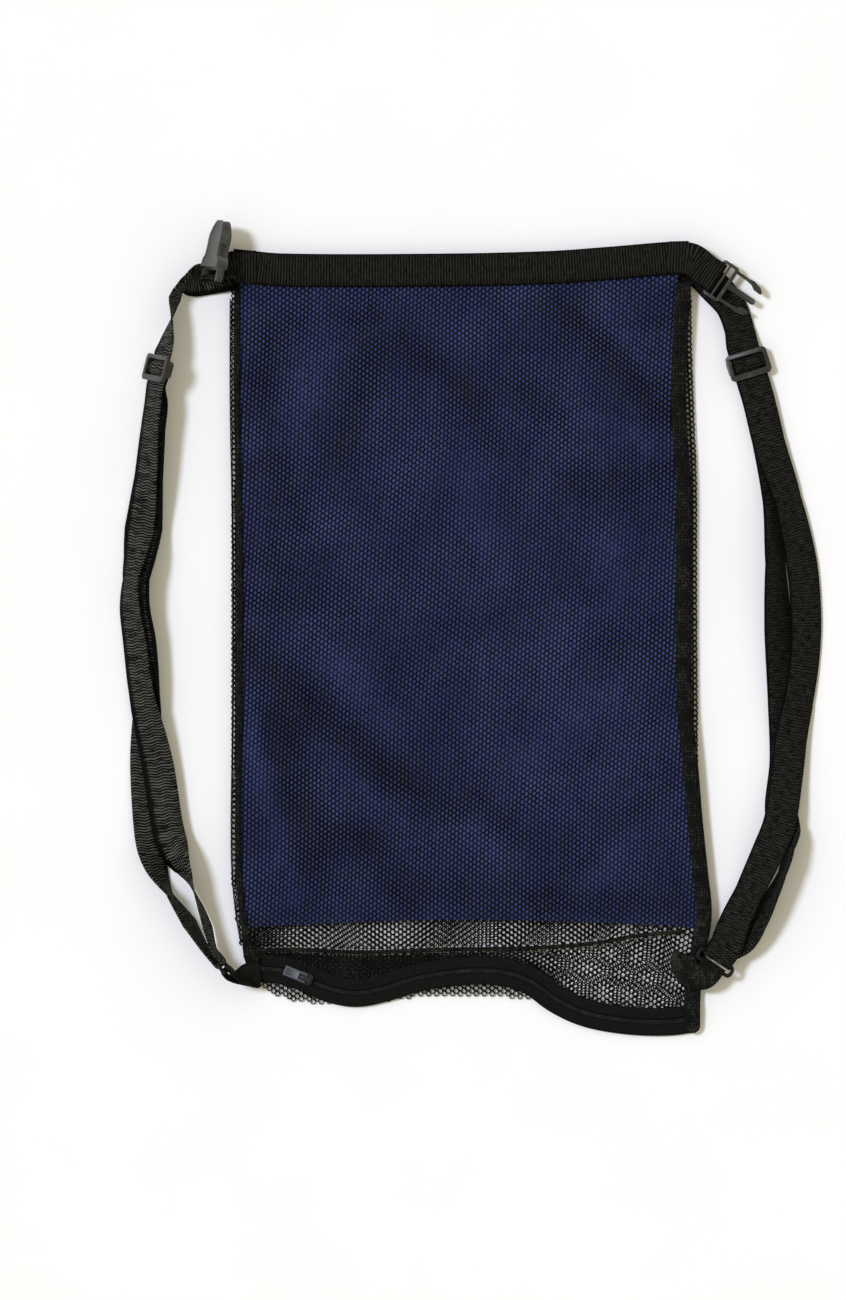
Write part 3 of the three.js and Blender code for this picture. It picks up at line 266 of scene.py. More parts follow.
def tape_finish():
    finish = new_finish("binding_tape", roughness=0.7, specular=0.08)
    cells = add_node(finish, "ShaderNodeTexVoronoi", Vector=coordinates(finish), Scale=430, Randomness=0.45)
    wear = add_node(finish, "ShaderNodeTexNoise", Vector=coordinates(finish), Scale=120, Detail=2)
    shade = calculate(finish, "MULTIPLY", cells.outputs["Distance"], wear.outputs["Fac"])
    colour_from(finish, tones(
        finish, shade,
        (0.06, (0.0006, 0.0006, 0.0007)), (0.24, (0.004, 0.0044, 0.0034)), (0.4, (0.02, 0.0215, 0.016)),
    ))
    relief(finish, cells.outputs["Distance"], 0.0004, 0.8)
    return finish


strap_webbing = webbing_finish(
    "strap_webbing", (0.0006, 0.0006, 0.0005), (0.029, 0.0296, 0.024), RIB_PERIOD, WAVER, 1.0, RIBBED_RAMP,
)
# The left strap gets a lighter copy of the strap webbing: painted light, for the sun its tilted face catches.
lit_strap_webbing = webbing_finish(
    "lit_strap_webbing", (0.001, 0.001, 0.0009), (0.082, 0.083, 0.0685), RIB_PERIOD, WAVER, 1.0, RIBBED_RAMP,
)
band_webbing = webbing_finish(
    "band_webbing", (0.0005, 0.0005, 0.0004), (0.021, 0.0207, 0.016), RIB_PERIOD, STRAIGHT, 1.2, RIBBED_RAMP,
)
# The left ring's tab gets a darker copy of the webbing: painted shade, for the shade in the knot of webbing
# round the ring.
shaded_tab_webbing = webbing_finish(
    "shaded_tab_webbing", (0.002, 0.002, 0.0016), (0.009, 0.009, 0.0072), 0.0017, STRAIGHT,
)
zip_cloth = webbing_finish(
    "zip_cloth", (0.0008, 0.0008, 0.0008), (0.0095, 0.0095, 0.0084), 0.0016, 0.0012,
)
binding_tape = tape_finish()
for finish in (strap_webbing, lit_strap_webbing, band_webbing, shaded_tab_webbing, zip_cloth, binding_tape):
    print("finish", finish.name, len(finish.node_tree.nodes), "nodes")

# %% [markdown]
# ### Plastic, zip and floor
# The fittings are moulded in black plastic with a fine grain. Their colour is paler on sharp edges and
# darker in hollows, as the mesh's pointiness finds. The socket half of the buckle gets a lighter copy of the
# plastic: painted light, for the sun its tilted face catches. The rings get a darker copy: painted shade,
# for the shade of the webbing wrapped round them. The pull is painted blue-grey. The floor is a pale sheet
# with a faint mottle.

# %% Plastic, zip and floor
def moulded_finish(name, dark, light, palest, roughness, specular=0.5):
    finish = new_finish(name, roughness=roughness, specular=specular)
    grain = add_node(finish, "ShaderNodeTexNoise", Vector=coordinates(finish), Scale=1800, Detail=2)
    rub = add_node(finish, "ShaderNodeTexNoise", Vector=coordinates(finish), Scale=160, Detail=3)
    # Paler on sharp edges and darker in hollows, by the mesh's pointiness.
    edge = add_node(finish, "ShaderNodeNewGeometry").outputs["Pointiness"]
    edge_and_hollow = calculate(finish, "MULTIPLY_ADD", calculate(finish, "SUBTRACT", edge, 0.5), 2.0)
    edge_and_hollow.node.inputs[2].default_value = 0.0
    mixed = calculate(finish, "ADD", rub.outputs["Fac"], edge_and_hollow)
    colour_from(finish, tones(finish, mixed, (0.3, dark), (0.65, light), (0.95, palest)))
    roughness_from(finish, rub.outputs["Fac"], roughness - 0.1, roughness + 0.12)
    relief(finish, grain.outputs["Fac"], 0.0001, 0.35)
    return finish


def floor_finish():
    finish = new_finish("pale_floor", roughness=0.9, specular=0.1)
    mottle = add_node(finish, "ShaderNodeTexNoise", Vector=coordinates(finish), Scale=9, Detail=3)
    colour_from(finish, tones(
        finish, mottle.outputs["Fac"], (0.3, (0.93, 0.93, 0.93)), (0.7, (0.95, 0.95, 0.95)),
    ))
    return finish


black_plastic = moulded_finish(
    "black_plastic", (0.009, 0.009, 0.008), (0.019, 0.019, 0.017), (0.07, 0.07, 0.065), 0.42,
)
# The socket half's lighter plastic is painted light, for the sun its tilted face catches.
lit_socket_plastic = moulded_finish(
    "lit_socket_plastic", (0.022, 0.022, 0.020), (0.041, 0.041, 0.037), (0.1, 0.1, 0.093), 0.42,
)
coil_plastic = moulded_finish(
    "coil_plastic", (0.003, 0.003, 0.003), (0.014, 0.014, 0.013), (0.045, 0.045, 0.043), 0.5, 0.3,
)
# The rings get a darker copy of the black plastic: painted shade, for the shade of the webbing wrapped round
# them.
shaded_ring_plastic = moulded_finish(
    "shaded_ring_plastic", (0.002, 0.002, 0.002), (0.005, 0.005, 0.0047), (0.012, 0.012, 0.011), 0.55, 0.2,
)
pull_paint = moulded_finish(
    "pull_paint", (0.026, 0.033, 0.044), (0.045, 0.056, 0.072), (0.11, 0.125, 0.145), 0.4,
)
sewing_thread = moulded_finish(
    "sewing_thread", (0.002, 0.002, 0.0018), (0.006, 0.006, 0.0055), (0.012, 0.012, 0.011), 0.7, 0.1,
)

bpy.ops.object.select_all(action="DESELECT")
bpy.ops.mesh.primitive_plane_add(size=8, location=(0, 0, -0.1 * MM))
floor = bpy.context.object
floor.name = "floor"
floor.data.materials.append(floor_finish())
print("floor", [round(value, 2) for value in floor.dimensions])

# %% [markdown]
# ## Lines of the bag
# The cloth is cut along a few measured lines: its left and right edges, the welt down the right, the mouth,
# the seam at the front's foot, the lowest outline, and the zip. Each line is a table of points in
# millimetres, and a smooth curve is drawn through them, so that any point between can be asked for.

# %% Curves through the measured points
def curve_through(rows, column=1):
    """A smooth curve through a table's rows, from its first column to another."""
    table = np.array(sorted(rows), float)
    place, value = table[:, 0], table[:, column]
    count = len(place)
    before = np.maximum(np.arange(count) - 1, 0)
    after = np.minimum(np.arange(count) + 1, count - 1)
    slope = (value[after] - value[before]) / (place[after] - place[before])

    def read(at):
        k = np.clip(np.searchsorted(place, at, side="right") - 1, 0, count - 2)
        span = place[k + 1] - place[k]
        f = np.clip((at - place[k]) / span, 0, 1)
        bend = span * (f * (1 - f) ** 2 * slope[k] - f * f * (1 - f) * slope[k + 1])
        return value[k] + (value[k + 1] - value[k]) * f * f * (3 - 2 * f) + bend

    return read


def unit(rows):
    """Each row as a direction of length one."""
    return rows / np.linalg.norm(rows, axis=1, keepdims=True)


def lengths_along(points):
    """How far each point of a line is from its first, along the line."""
    return np.concatenate([[0], np.cumsum(np.linalg.norm(np.diff(points, axis=0), axis=1))])


def upward(count):
    return np.repeat([[0.0, 0.0, 1.0]], count, axis=0)


# Rows of y, left edge, right edge and welt.
SIDES = [
    (290, -183.4, 167.5, 162.5), (260, -184.7, 169.0, 160.5), (208, -185.0, 169.6, 157.4),
    (158, -184.8, 171.6, 157.0), (110, -183.8, 173.3, 160.4), (33, -182.8, 173.4, 160.4),
    (-55, -183.0, 174.0, 161.2), (-105, -183.6, 174.2, 165.8), (-147, -184.2, 176.0, 169.3),
    (-185, -183.6, 179.0, 173.2), (-218, -180.6, 182.0, 176.2), (-245, -175.6, 178.2, 172.0),
    (-270, -168.7, 174.6, 168.5), (-286, -166.0, 173.2, 167.5), (-302, -164.0, 174.2, 167.5),
]
# Rows of x and y, here and in the three tables below.
BAND = [
    (-180, 274.7), (-143, 271.3), (-17, 271.3), (59, 273.2), (103, 276.3), (152, 280.4), (166, 280.8),
]
SEAM = [
    (-174, -245.5), (-131, -244.5), (-85, -246.5), (-24, -244.5), (36, -243.5),
    (67, -242.0), (97, -239.0), (128, -233.5), (172, -230.0),
]
OUTLINE = [
    (-168, -271.0), (-153, -278.5), (-123, -286.0), (-81, -285.5), (-37, -281.0), (22, -281.5),
    (56, -284.8), (81, -295.4), (115, -306.0), (152, -308.6), (173, -303.5),
]
ZIP = [
    (-160, -258.8), (-145, -260.2), (-128, -265.6), (-108, -274.2), (-88, -277.6), (-66, -273.6),
    (-43, -266.4), (-16, -261.8), (6, -260.3), (27, -262.2), (46, -269.4), (64, -282.3),
    (85, -292.2), (114, -298.0), (148, -299.4), (170.5, -296.6),
]
WEB_WALL = 1.5
MOUTH_LAP = 2
LEFT_INSET = 1.5
WELT_REACH = 4.3
LINING_FOOT, LINING_SAG, LINING_HALF = -222, 6, 172

left_edge = curve_through(SIDES, 1)
right_edge = curve_through(SIDES, 2)
welt = curve_through(SIDES, 3)
band_middle = curve_through(BAND)
seam = curve_through(SEAM)
outline = curve_through(OUTLINE)
zip_middle = curve_through(ZIP)


def mouth_edge(x):
    return band_middle(x) + WEB_WIDTH / 2 - MOUTH_LAP


def front_left(y):
    return left_edge(y) + LEFT_INSET


def front_right(y):
    return welt(y) + WELT_REACH


def lining_foot(x):
    return LINING_FOOT - LINING_SAG * (x / LINING_HALF) ** 2


print("front is", round(float(front_right(0) - front_left(0))), "mm wide at its middle")

# %% [markdown]
# ## How the front lies
# The front is not a plate: it has soft folds where the bag was once rolled, puckers below the mouth band, and
# a fall towards the floor at its foot. Each fold is a short line with a width and a rise. The broad ones are
# in the solid model too, and the narrow ones below them are cloth detail. All of them fade out at the bound
# edges.

# %% Folds of the front
# Rows of from x, from y, to x, to y, width and rise.
BROAD_FOLDS = [
    (71, 253, 147, 169, 12, -1.6), (90, 158, 139, 135, 13, 2.4), (90, 112, 143, 113, 12, -1.4),
    (-146, 154, -100, 215, 19, 2.2), (-169, 123, -115, 78, 12, -1.6), (-176, -17, -58, -112, 12, -1.8),
    (-58, -112, -9, -135, 11, -1.2), (-127, -20, -62, -70, 14, 2.6), (-165, -75, -127, -205, 17, 2.4),
    (-28, 169, 14, 74, 15, 2.2), (90, -40, 112, -63, 17, 2.0), (2, -112, 32, -150, 11, -1.3),
    (-12, -160, 36, -182, 13, 2.0), (90, -203, 124, -158, 13, 2.2),
]
NARROW_FOLDS = [
    (73, 247, 146, 175, 6, -1.6), (86, 165, 139, 135, 7, 1.4), (75, 108, 143, 118, 6, -1.2),
    (-172, -10, -62, -108, 6, -1.6), (-62, -112, -17, -135, 6, -1.0), (-104, -25, -70, -66, 9, 1.3),
    (-108, -150, -47, -215, 7, -1.4), (-172, -74, -140, -203, 8, 1.2), (-161, 123, -116, 78, 6, -1.0),
    (-78, 218, -115, 140, 9, -1.3), (-51, 222, 14, 173, 7, -1.3), (36, 184, 63, 158, 7, -0.9),
    (25, 108, 55, 70, 6, -0.8), (-24, 139, 14, 78, 9, 1.2), (-133, 196, -130, 158, 13, 1.2),
    (-161, 230, -165, 158, 7, -1.2), (-160, 50, -150, 45, 8, -0.9), (-165, 17, -96, 21, 7, -0.6),
    (109, -13, 143, -10, 8, -0.9), (100, 60, 118, 36, 10, 0.8), (90, -50, 105, -66, 9, 0.8),
    (-17, -78, 55, -97, 8, 0.9), (2, -127, 29, -161, 6, -1.0), (-5, -154, 25, -169, 6, 0.9),
    (-36, -203, 116, -211, 8, -1.2), (93, -199, 124, -165, 7, 1.2), (-108, 232, -74, 234, 5, -0.8),
    (-9, 245, 2, 226, 3.5, 0.9), (17, 249, 36, 226, 3.5, 0.9), (-16, 240, -6, 222, 3.5, -0.7),
    (8, 238, 20, 222, 3.5, -0.7),
]
NARROW_SHARE = 0.45
LOFT = 10.5
CROWN = 1.2
RIM_HEIGHT = 2.4
FOOT_DROP = 2.1
FOOT_FALLS = (205, 245)
SLACK_BROAD, SLACK_FINE, SLACK_MOST = 0.22, 0.12, 0.34
FADE = 16
FLAT_LEFT, FLAT_RIGHT, FLAT_MOUTH, FLAT_FOOT = 11, 13, 26, 14


def smooth_step(value, low, high):
    f = np.clip((value - low) / (high - low), 0, 1)
    return f * f * (3 - 2 * f)


def fold_height(x, y, folds):
    total = np.zeros(np.broadcast(x, y).shape)
    for from_x, from_y, to_x, to_y, width, rise in folds:
        run_x, run_y = to_x - from_x, to_y - from_y
        f = ((x - from_x) * run_x + (y - from_y) * run_y) / (run_x ** 2 + run_y ** 2)
        f = np.clip(f, 0, 1)
        apart = np.hypot(x - from_x - f * run_x, y - from_y - f * run_y)
        total = total + rise * np.exp(-((apart / width) ** 2))
    return total


def slack(x, y):
    """Small unevenness of a slack cloth."""
    broad = np.sin(x / 17.0 + 1.3 * np.sin(y / 41.0)) * np.sin(y / 23.0 + 0.8)
    fine = np.sin((x + 0.7 * y) / 7.3 + 2.0) * np.sin((y - 0.4 * x) / 11.0)
    return SLACK_BROAD * broad + SLACK_FINE * fine


def front_height(x, y):
    inside = np.minimum.reduce([
        x - front_left(y) - FLAT_LEFT,
        front_right(y) - x - FLAT_RIGHT,
        mouth_edge(x) - y - FLAT_MOUTH,
        y - seam(x) - FLAT_FOOT,
    ])
    folds = fold_height(x, y, BROAD_FOLDS) + NARROW_SHARE * fold_height(x, y, NARROW_FOLDS) + slack(x, y)
    drop = FOOT_DROP * smooth_step(-y, *FOOT_FALLS)
    return LOFT - drop + (folds + CROWN) * smooth_step(inside, 0, FADE)


def foot_height(x, y):
    at_seam = front_height(x, seam(x))
    share = np.clip((seam(x) - y) / (seam(x) - outline(x)), 0, 1)
    return at_seam + (RIM_HEIGHT - at_seam) * share


print("front height at its middle", round(float(front_height(0.0, 0.0)), 1), "mm")

# %% [markdown]
# ## Knitting the net
# A net could be a flat sheet with a pattern of clear holes, but then it would have no depth, and its holes
# would be lost in a mesh file. Here each hole is real. The lattice is counted on whole numbers, so that
# neighbours share their corners: each cell gets six inner points, and twelve faces slope from the strands'
# ridges to the hole's rim. Strands are highest along their middle, above and below, so each is a small
# closed lens in section. A real knit is uneven: a fixed seed moves each corner and changes each hole's size
# a little.

# %% Net maker
COLUMN_STEP = 3.02
ROW_STEP = 4.06
HOLE = 0.72
STRAND = 0.8
UNEVEN = 0.13
HOLE_SPREAD = (0.93, 1.05)
CORNERS = np.array([(2, 0), (1, 1), (-1, 1), (-2, 0), (-1, -1), (1, -1)])
RIM = np.array([(2, 0), (0.8, 1), (-0.8, 1), (-2, 0), (-0.8, -1), (0.8, -1)])


def new_piece(name, places, faces, finish):
    """A mesh piece from points in millimetres and rows of four corners."""
    mesh = bpy.data.meshes.new(name)
    mesh.vertices.add(len(places))
    mesh.vertices.foreach_set("co", (np.asarray(places) * MM).astype(np.float32).ravel())
    mesh.loops.add(faces.size)
    mesh.loops.foreach_set("vertex_index", faces.astype(np.int32).ravel())
    mesh.polygons.add(len(faces))
    mesh.polygons.foreach_set("loop_start", np.arange(0, faces.size, 4, dtype=np.int32))
    mesh.polygons.foreach_set("use_smooth", np.ones(len(faces), bool))
    mesh.update(calc_edges=True)
    mesh.materials.append(finish)
    piece = bpy.data.objects.new(name, mesh)
    bpy.context.scene.collection.objects.link(piece)
    return piece


def across_cloth(lie, a, b):
    """The direction through the cloth, from two short steps on it."""
    step = 0.5
    along = lie(a + step, b) - lie(a - step, b)
    over = lie(a, b + step) - lie(a, b - step)
    return unit(np.cross(along, over))


def knit_net(name, low, high, covers, lie, openness=None):
    """A net over the cells that covers() keeps, with lie() giving each point's place."""
    column = np.arange(int(low[0] // COLUMN_STEP), int(high[0] // COLUMN_STEP) + 2)
    row = np.arange(int(low[1] // ROW_STEP) - 1, int(high[1] // ROW_STEP) + 2)
    column, row = (grid.ravel() for grid in np.meshgrid(column, row, indexing="ij"))
    middle = np.stack([3 * column, 2 * row + column % 2], axis=1)
    scale = np.array([COLUMN_STEP / 3, ROW_STEP / 2])
    middle = middle[covers(*(middle * scale).T)]
    cell_corners = middle[:, None] + CORNERS[None]
    corners, number = np.unique(cell_corners.reshape(-1, 2), axis=0, return_inverse=True)
    number = number.reshape(-1, 6)
    flat = corners * scale + np.random.default_rng(len(corners)).normal(0, UNEVEN, corners.shape)
    places = lie(*flat.T)
    through = across_cloth(lie, *flat.T) * STRAND / 2
    hole_share = openness(*(middle * scale).T) if openness else np.full(len(middle), HOLE)
    hole_share = hole_share * np.random.default_rng(len(middle)).uniform(*HOLE_SPREAD, len(middle))
    rim = (middle[:, None] + hole_share[:, None, None] * RIM[None]).reshape(-1, 2) * scale
    points = np.concatenate([places + through, places - through, lie(*rim.T)])

    count = len(corners)
    top, top_next = number, np.roll(number, -1, axis=1)
    hole = 2 * count + np.arange(len(rim)).reshape(-1, 6)
    hole_next = np.roll(hole, -1, axis=1)
    upper = np.stack([top, top_next, hole_next, hole], axis=2).reshape(-1, 4)
    lower = np.stack([top_next + count, top + count, hole, hole_next], axis=2).reshape(-1, 4)
    edges = np.stack([top, top_next], axis=2).reshape(-1, 2)
    key = np.sort(edges, axis=1)
    _, first, uses = np.unique(key, axis=0, return_index=True, return_counts=True)
    free = edges[first[uses == 1]]
    edge = np.stack([free[:, 0], free[:, 0] + count, free[:, 1] + count, free[:, 1]], axis=1)
    net = new_piece(name, points, np.concatenate([upper, lower, edge]), net_yarn)
    print(name, len(middle), "holes,", 2 * len(net.data.polygons), "triangles")
    return net


def declare_net(net, node):
    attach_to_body(net, "bag")
    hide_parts(node)


print("net lattice", COLUMN_STEP, "by", ROW_STEP, "mm, strands", STRAND, "mm thick")

# %% [markdown]
# ## Front and back net
# The front follows its folds, and the back lies flat on the floor. The front's lattice is drawn out of
# square, and its holes close where the net is bunched and open where it is stretched. Both walls are large,
# so the front is knitted in two halves and the back in three, which keeps each mesh a size that a viewer
# can open.

# %% Front net
NET_SINK = 0.5
EDGE_CLEARANCE = 1.5
MOUTH_CLEARANCE = 2
FRONT_HOLE = 0.77
FOLD_CLOSES = 0.13
HOLE_LEAST, HOLE_MOST = 0.58, 0.88
HALVES_MEET = 15
# Rows as for the folds, with how far the net is bunched, or stretched where it is negative.
BUNCHED = [
    (67, 245, 147, 165, 14, 1.0), (-51, 218, -1, 177, 11, 0.7), (-1, 177, 14, 139, 10, 0.5),
    (36, 184, 63, 158, 11, 0.5), (-74, 211, -104, 135, 14, 0.8), (-150, 226, -161, 165, 13, 0.8),
    (-153, 123, -131, 85, 13, 0.7), (-150, 55, -148, 50, 15, 0.6), (-165, 21, -93, 17, 11, 0.45),
    (-172, -13, -58, -112, 14, 1.0), (-58, -112, -13, -139, 12, 0.8), (-146, -74, -123, -180, 20, 1.0),
    (-112, -154, -81, -161, 13, 0.7), (-81, -161, -51, -215, 13, 0.7), (2, -127, 29, -158, 10, 0.6),
    (-39, -196, 55, -207, 14, 0.6), (55, -207, 154, -211, 14, 0.6), (78, 108, 147, 116, 11, 0.7),
    (109, -17, 147, -13, 15, 0.4), (78, -180, 139, -127, 11, 0.35), (-93, 234, -74, 236, 7, 0.5),
    (135, 237, 143, 230, 7, 0.5), (-112, 203, -131, 158, 16, -0.6), (93, 158, 139, 135, 12, -0.6),
    (-5, 127, 10, 70, 15, -0.5), (105, 63, 109, 25, 17, -0.5), (-100, -32, -70, -70, 15, -0.6),
    (101, -51, 67, -82, 16, -0.5), (36, -97, 40, -97, 14, -0.4), (-169, -74, -134, -203, 9, -0.8),
    (-119, -93, -74, -131, 8, -0.4), (124, -158, 93, -200, 12, -0.5), (101, 237, 135, 196, 10, -0.4),
    (-5, -154, 17, -169, 9, -0.3), (-172, -230, -150, -246, 12, 1.6),
]


def drawn(x, y):
    """Where a point of the square lattice comes to lie in a cloth pulled out of square."""
    broad_x, broad_y = 1.3 * np.sin(y / 61.0 + x / 140.0), 1.8 * np.sin(x / 57.0 + y / 120.0 + 0.9)
    fine_x, fine_y = 0.5 * np.sin(y / 23.0 - x / 47.0), 0.6 * np.sin(x / 21.0 + y / 38.0)
    return 0.96 * x + 0.05 * y + broad_x + fine_x, 0.973 * y + 0.029 * x + broad_y + fine_y


def front_openness(x, y):
    """How much of each cell is hole: little where the net is bunched, more where it is stretched."""
    return np.clip(FRONT_HOLE - FOLD_CLOSES * fold_height(*drawn(x, y), BUNCHED), HOLE_LEAST, HOLE_MOST)


def on_front(x, y):
    x, y = drawn(x, y)
    return np.stack([x, y, front_height(x, y) - NET_SINK], axis=1)


def front_covers(from_y, to_y):
    def covers(x, y):
        half = (y >= from_y) & (y < to_y)
        x, y = drawn(x, y)
        across = (x > front_left(y) + EDGE_CLEARANCE) & (x < front_right(y) - EDGE_CLEARANCE)
        return half & across & (y < mouth_edge(x) - MOUTH_CLEARANCE) & (y > seam(x) + EDGE_CLEARANCE)
    return covers


front_net_upper = knit_net(
    "front_net_upper", (-230, 4), (195, 325), front_covers(HALVES_MEET, 400), on_front, front_openness,
)
front_net_lower = knit_net(
    "front_net_lower", (-230, -285), (215, 20), front_covers(-400, HALVES_MEET), on_front, front_openness,
)
declare_net(front_net_upper, "front_net")
declare_net(front_net_lower, "front_net")

# %% Back net
CORNER_END = 167.5
CORNER_TOP = -276
MEAN_RIGHT_EDGE = 173.5
EDGE_BLEND = (110, 165)
FLOOR_RISE, FLOOR_SLACK = 0.5, 0.25
FOOT_OPENS, FOOT_BLEND = 0.05, (225, 240)
EDGE_CLOSES, CLOSE_BLEND = 0.05, (130, 155)
BACK_THIRDS = [("back_net_top", 95, 320), ("back_net_middle", -95, 95), ("back_net_foot", -320, -95)]


def edge_led(x, y):
    """The columns near the right edge run along it."""
    return x + (right_edge(y) - MEAN_RIGHT_EDGE) * smooth_step(x, *EDGE_BLEND), y


def on_floor(x, y):
    x, y = edge_led(x, y)
    rise = FLOOR_RISE + FLOOR_SLACK * (1 + slack(x, y) / SLACK_MOST)
    return np.stack([x, y, rise], axis=1)


def back_openness(x, y):
    """The back is drawn close along its right edge and stretched open at its foot."""
    foot = smooth_step(-y, *FOOT_BLEND)
    return HOLE + FOOT_OPENS * foot - EDGE_CLOSES * (1 - foot) * smooth_step(x, *CLOSE_BLEND)


def back_covers(from_y, to_y):
    def covers(x, y):
        x, y = edge_led(x, y)
        third = (y >= from_y) & (y < to_y)
        ends = np.where(y > CORNER_TOP, right_edge(y) - EDGE_CLEARANCE, CORNER_END)
        across = (x > left_edge(y) + EDGE_CLEARANCE) & (x < ends)
        return third & across & (y < mouth_edge(x) - MOUTH_CLEARANCE) & (y > outline(x) + EDGE_CLEARANCE)
    return covers


for name, from_y, to_y in BACK_THIRDS:
    low, high = (-190, from_y - 5), (190, to_y + 5)
    net = knit_net(name, low, high, back_covers(from_y, to_y), on_floor, back_openness)
    declare_net(net, "back_net")

# %% [markdown]
# ## Side walls and the net at the foot
# The side walls slope from the front's edge down to the back. The left one is a narrow strip, whose lattice
# is measured along it and down its slope. The right one shows more, so its lattice is the back's, lifted
# onto the slope. Below the front's foot the net goes on to the lowest outline, on both sides of the zip:
# gathered at the left, and pulled askew at the right.

# %% Side walls
WALL_SINK = 1.85
LEFT_DROP = 9.0
LEFT_BULGE = 0.8
LEFT_LOW, LEFT_HIGH = -240, 249
RIGHT_LOW, RIGHT_HIGH = -229, 249
TOP_INSET, FOOT_INSET = 1.2, 1.4


def on_left_wall(down, y):
    top_x, foot_x = front_left(y) + TOP_INSET, left_edge(y) + FOOT_INSET
    f = np.clip(down / LEFT_DROP, -0.02, 1.02)
    top = front_height(top_x, y) - WALL_SINK
    x = top_x + (foot_x - top_x) * f - LEFT_BULGE * np.sin(np.pi * np.clip(f, 0, 1))
    return np.stack([x, y, top + (WALL_SINK - top) * f], axis=1)


def left_wall_covers(down, y):
    return (down > 1) & (down < LEFT_DROP - 1) & (y > LEFT_LOW) & (y < LEFT_HIGH)


def on_right_wall(x, y):
    x, y = edge_led(x, y)
    top_x, foot_x = front_right(y) - TOP_INSET, right_edge(y) - FOOT_INSET
    top = front_height(top_x, y) - WALL_SINK
    f = np.clip((x - top_x) / (foot_x - top_x), 0, 1)
    return np.stack([x, y, top + (WALL_SINK - top) * f], axis=1)


def right_wall_covers(x, y):
    x, y = edge_led(x, y)
    return (x > front_right(y) - 1) & (x < right_edge(y) - 2) & (y > RIGHT_LOW) & (y < RIGHT_HIGH)


side_net_left = knit_net(
    "side_net_left", (-3, LEFT_LOW), (LEFT_DROP + 3, LEFT_HIGH), left_wall_covers, on_left_wall,
)
declare_net(side_net_left, "gusset_left")
side_net_right = knit_net(
    "side_net_right", (146, RIGHT_LOW - 1), (190, RIGHT_HIGH + 1),
    right_wall_covers, on_right_wall, back_openness,
)
declare_net(side_net_right, "gusset_right")

# %% Net at the foot
GATHER = 0.42
ASKEW = 0.17
ASKEW_BLEND = (-10, 85)
ASKEW_X, ASKEW_Y = 110, -265
FOOT_SINK = 0.6
FOOT_HOLE = 0.76
GATHER_CLOSES = 0.52
ZIP_CLEARANCE, SIDE_CLEARANCE, SEAM_CLEARANCE = 5, 3, 2.6


def gathered(x, y):
    """The net below the foot's left is gathered, so its rows lie closer there. The right is pulled askew."""
    askew = smooth_step(x, *ASKEW_BLEND)
    x, y = x + ASKEW * askew * (y - ASKEW_Y), y - ASKEW * askew * (x - ASKEW_X)
    x, y = x + 0.8 * np.sin(y / 9.0 + x / 30.0), y + 0.9 * np.sin(x / 13.0)
    share = GATHER + (1 - GATHER) * askew
    return x, seam(x) - (seam(x) - y) * share


def on_foot(x, y):
    return np.stack([x, y, foot_height(x, y) - FOOT_SINK], axis=1)


def on_gathered_foot(x, y):
    return on_foot(*gathered(x, y))


def foot_openness(x, y):
    return FOOT_HOLE - GATHER_CLOSES * (1 - smooth_step(x, *ASKEW_BLEND))


def above_zip(x, y):
    x, y = gathered(x, y)
    ends = np.where(y > CORNER_TOP, right_edge(y) - SIDE_CLEARANCE, CORNER_END)
    across = (x > left_edge(y) + SIDE_CLEARANCE) & (x < ends)
    return across & (y < seam(x) - SEAM_CLEARANCE) & (y > zip_middle(x) + ZIP_CLEARANCE)


def below_zip(x, y):
    across = (x > left_edge(y) + SIDE_CLEARANCE) & (x < CORNER_END)
    return across & (y < zip_middle(x) - ZIP_CLEARANCE) & (y > outline(x) + EDGE_CLEARANCE)


foot_net_above = knit_net(
    "foot_net_above", (-190, -345), (195, -200), above_zip, on_gathered_foot, foot_openness,
)
foot_net_below = knit_net("foot_net_below", (-180, -312), (185, -255), below_zip, on_foot)
declare_net(foot_net_above, "bottom_net_front")
declare_net(foot_net_below, "bottom_net_back")

# %% [markdown]
# ## Cloth from a grid
# Lining, tapes and webbing are all thin sheets. Each starts as a flat grid of faces, whose points are then
# laid in place, row by row. A Solidify modifier gives the sheet its wall, and a Bevel rounds its edges. Its
# UV map is written in metres along and across, so a weave keeps its real size.

# %% Sheet maker
def use_modifier(piece, kind, **settings):
    bpy.context.view_layer.objects.active = piece
    modifier = piece.modifiers.new(kind.title(), kind)
    for key, value in settings.items():
        setattr(modifier, key, value)
    bpy.ops.object.modifier_apply(modifier=modifier.name)


def lay_sheet(name, places, wall, finish, rounding=0.3, segments=2):
    """A grid of points in millimetres, rows first, made a sheet with a wall."""
    rows, columns = places.shape[:2]
    bpy.ops.object.select_all(action="DESELECT")
    bpy.ops.mesh.primitive_grid_add(x_subdivisions=columns - 1, y_subdivisions=rows - 1, size=1)
    sheet = bpy.context.object
    sheet.name = name
    sheet.data.name = name
    sheet.data.vertices.foreach_set("co", (places * MM).astype(np.float32).ravel())
    along = lengths_along(places.mean(axis=1)) * MM
    over = lengths_along(places.mean(axis=0)) * MM
    pattern = np.stack(np.meshgrid(along, over, indexing="ij"), axis=2).reshape(-1, 2)
    corner = np.zeros(len(sheet.data.loops), np.int32)
    sheet.data.loops.foreach_get("vertex_index", corner)
    sheet.data.uv_layers.active.data.foreach_set("uv", pattern[corner].astype(np.float32).ravel())
    sheet.data.update()
    use_modifier(sheet, "SOLIDIFY", thickness=wall * MM, offset=0.0)
    if rounding:
        use_modifier(
            sheet, "BEVEL", width=rounding * MM, segments=segments,
            limit_method="ANGLE", angle_limit=radians(55),
        )
    sheet.data.materials.append(finish)
    bpy.ops.object.shade_smooth_by_angle(angle=radians(50))
    return sheet


def attach(piece, node):
    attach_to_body(piece, "bag")
    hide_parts(node)
    print(piece.name, len(piece.data.polygons), "faces")


print("sheet maker ready")

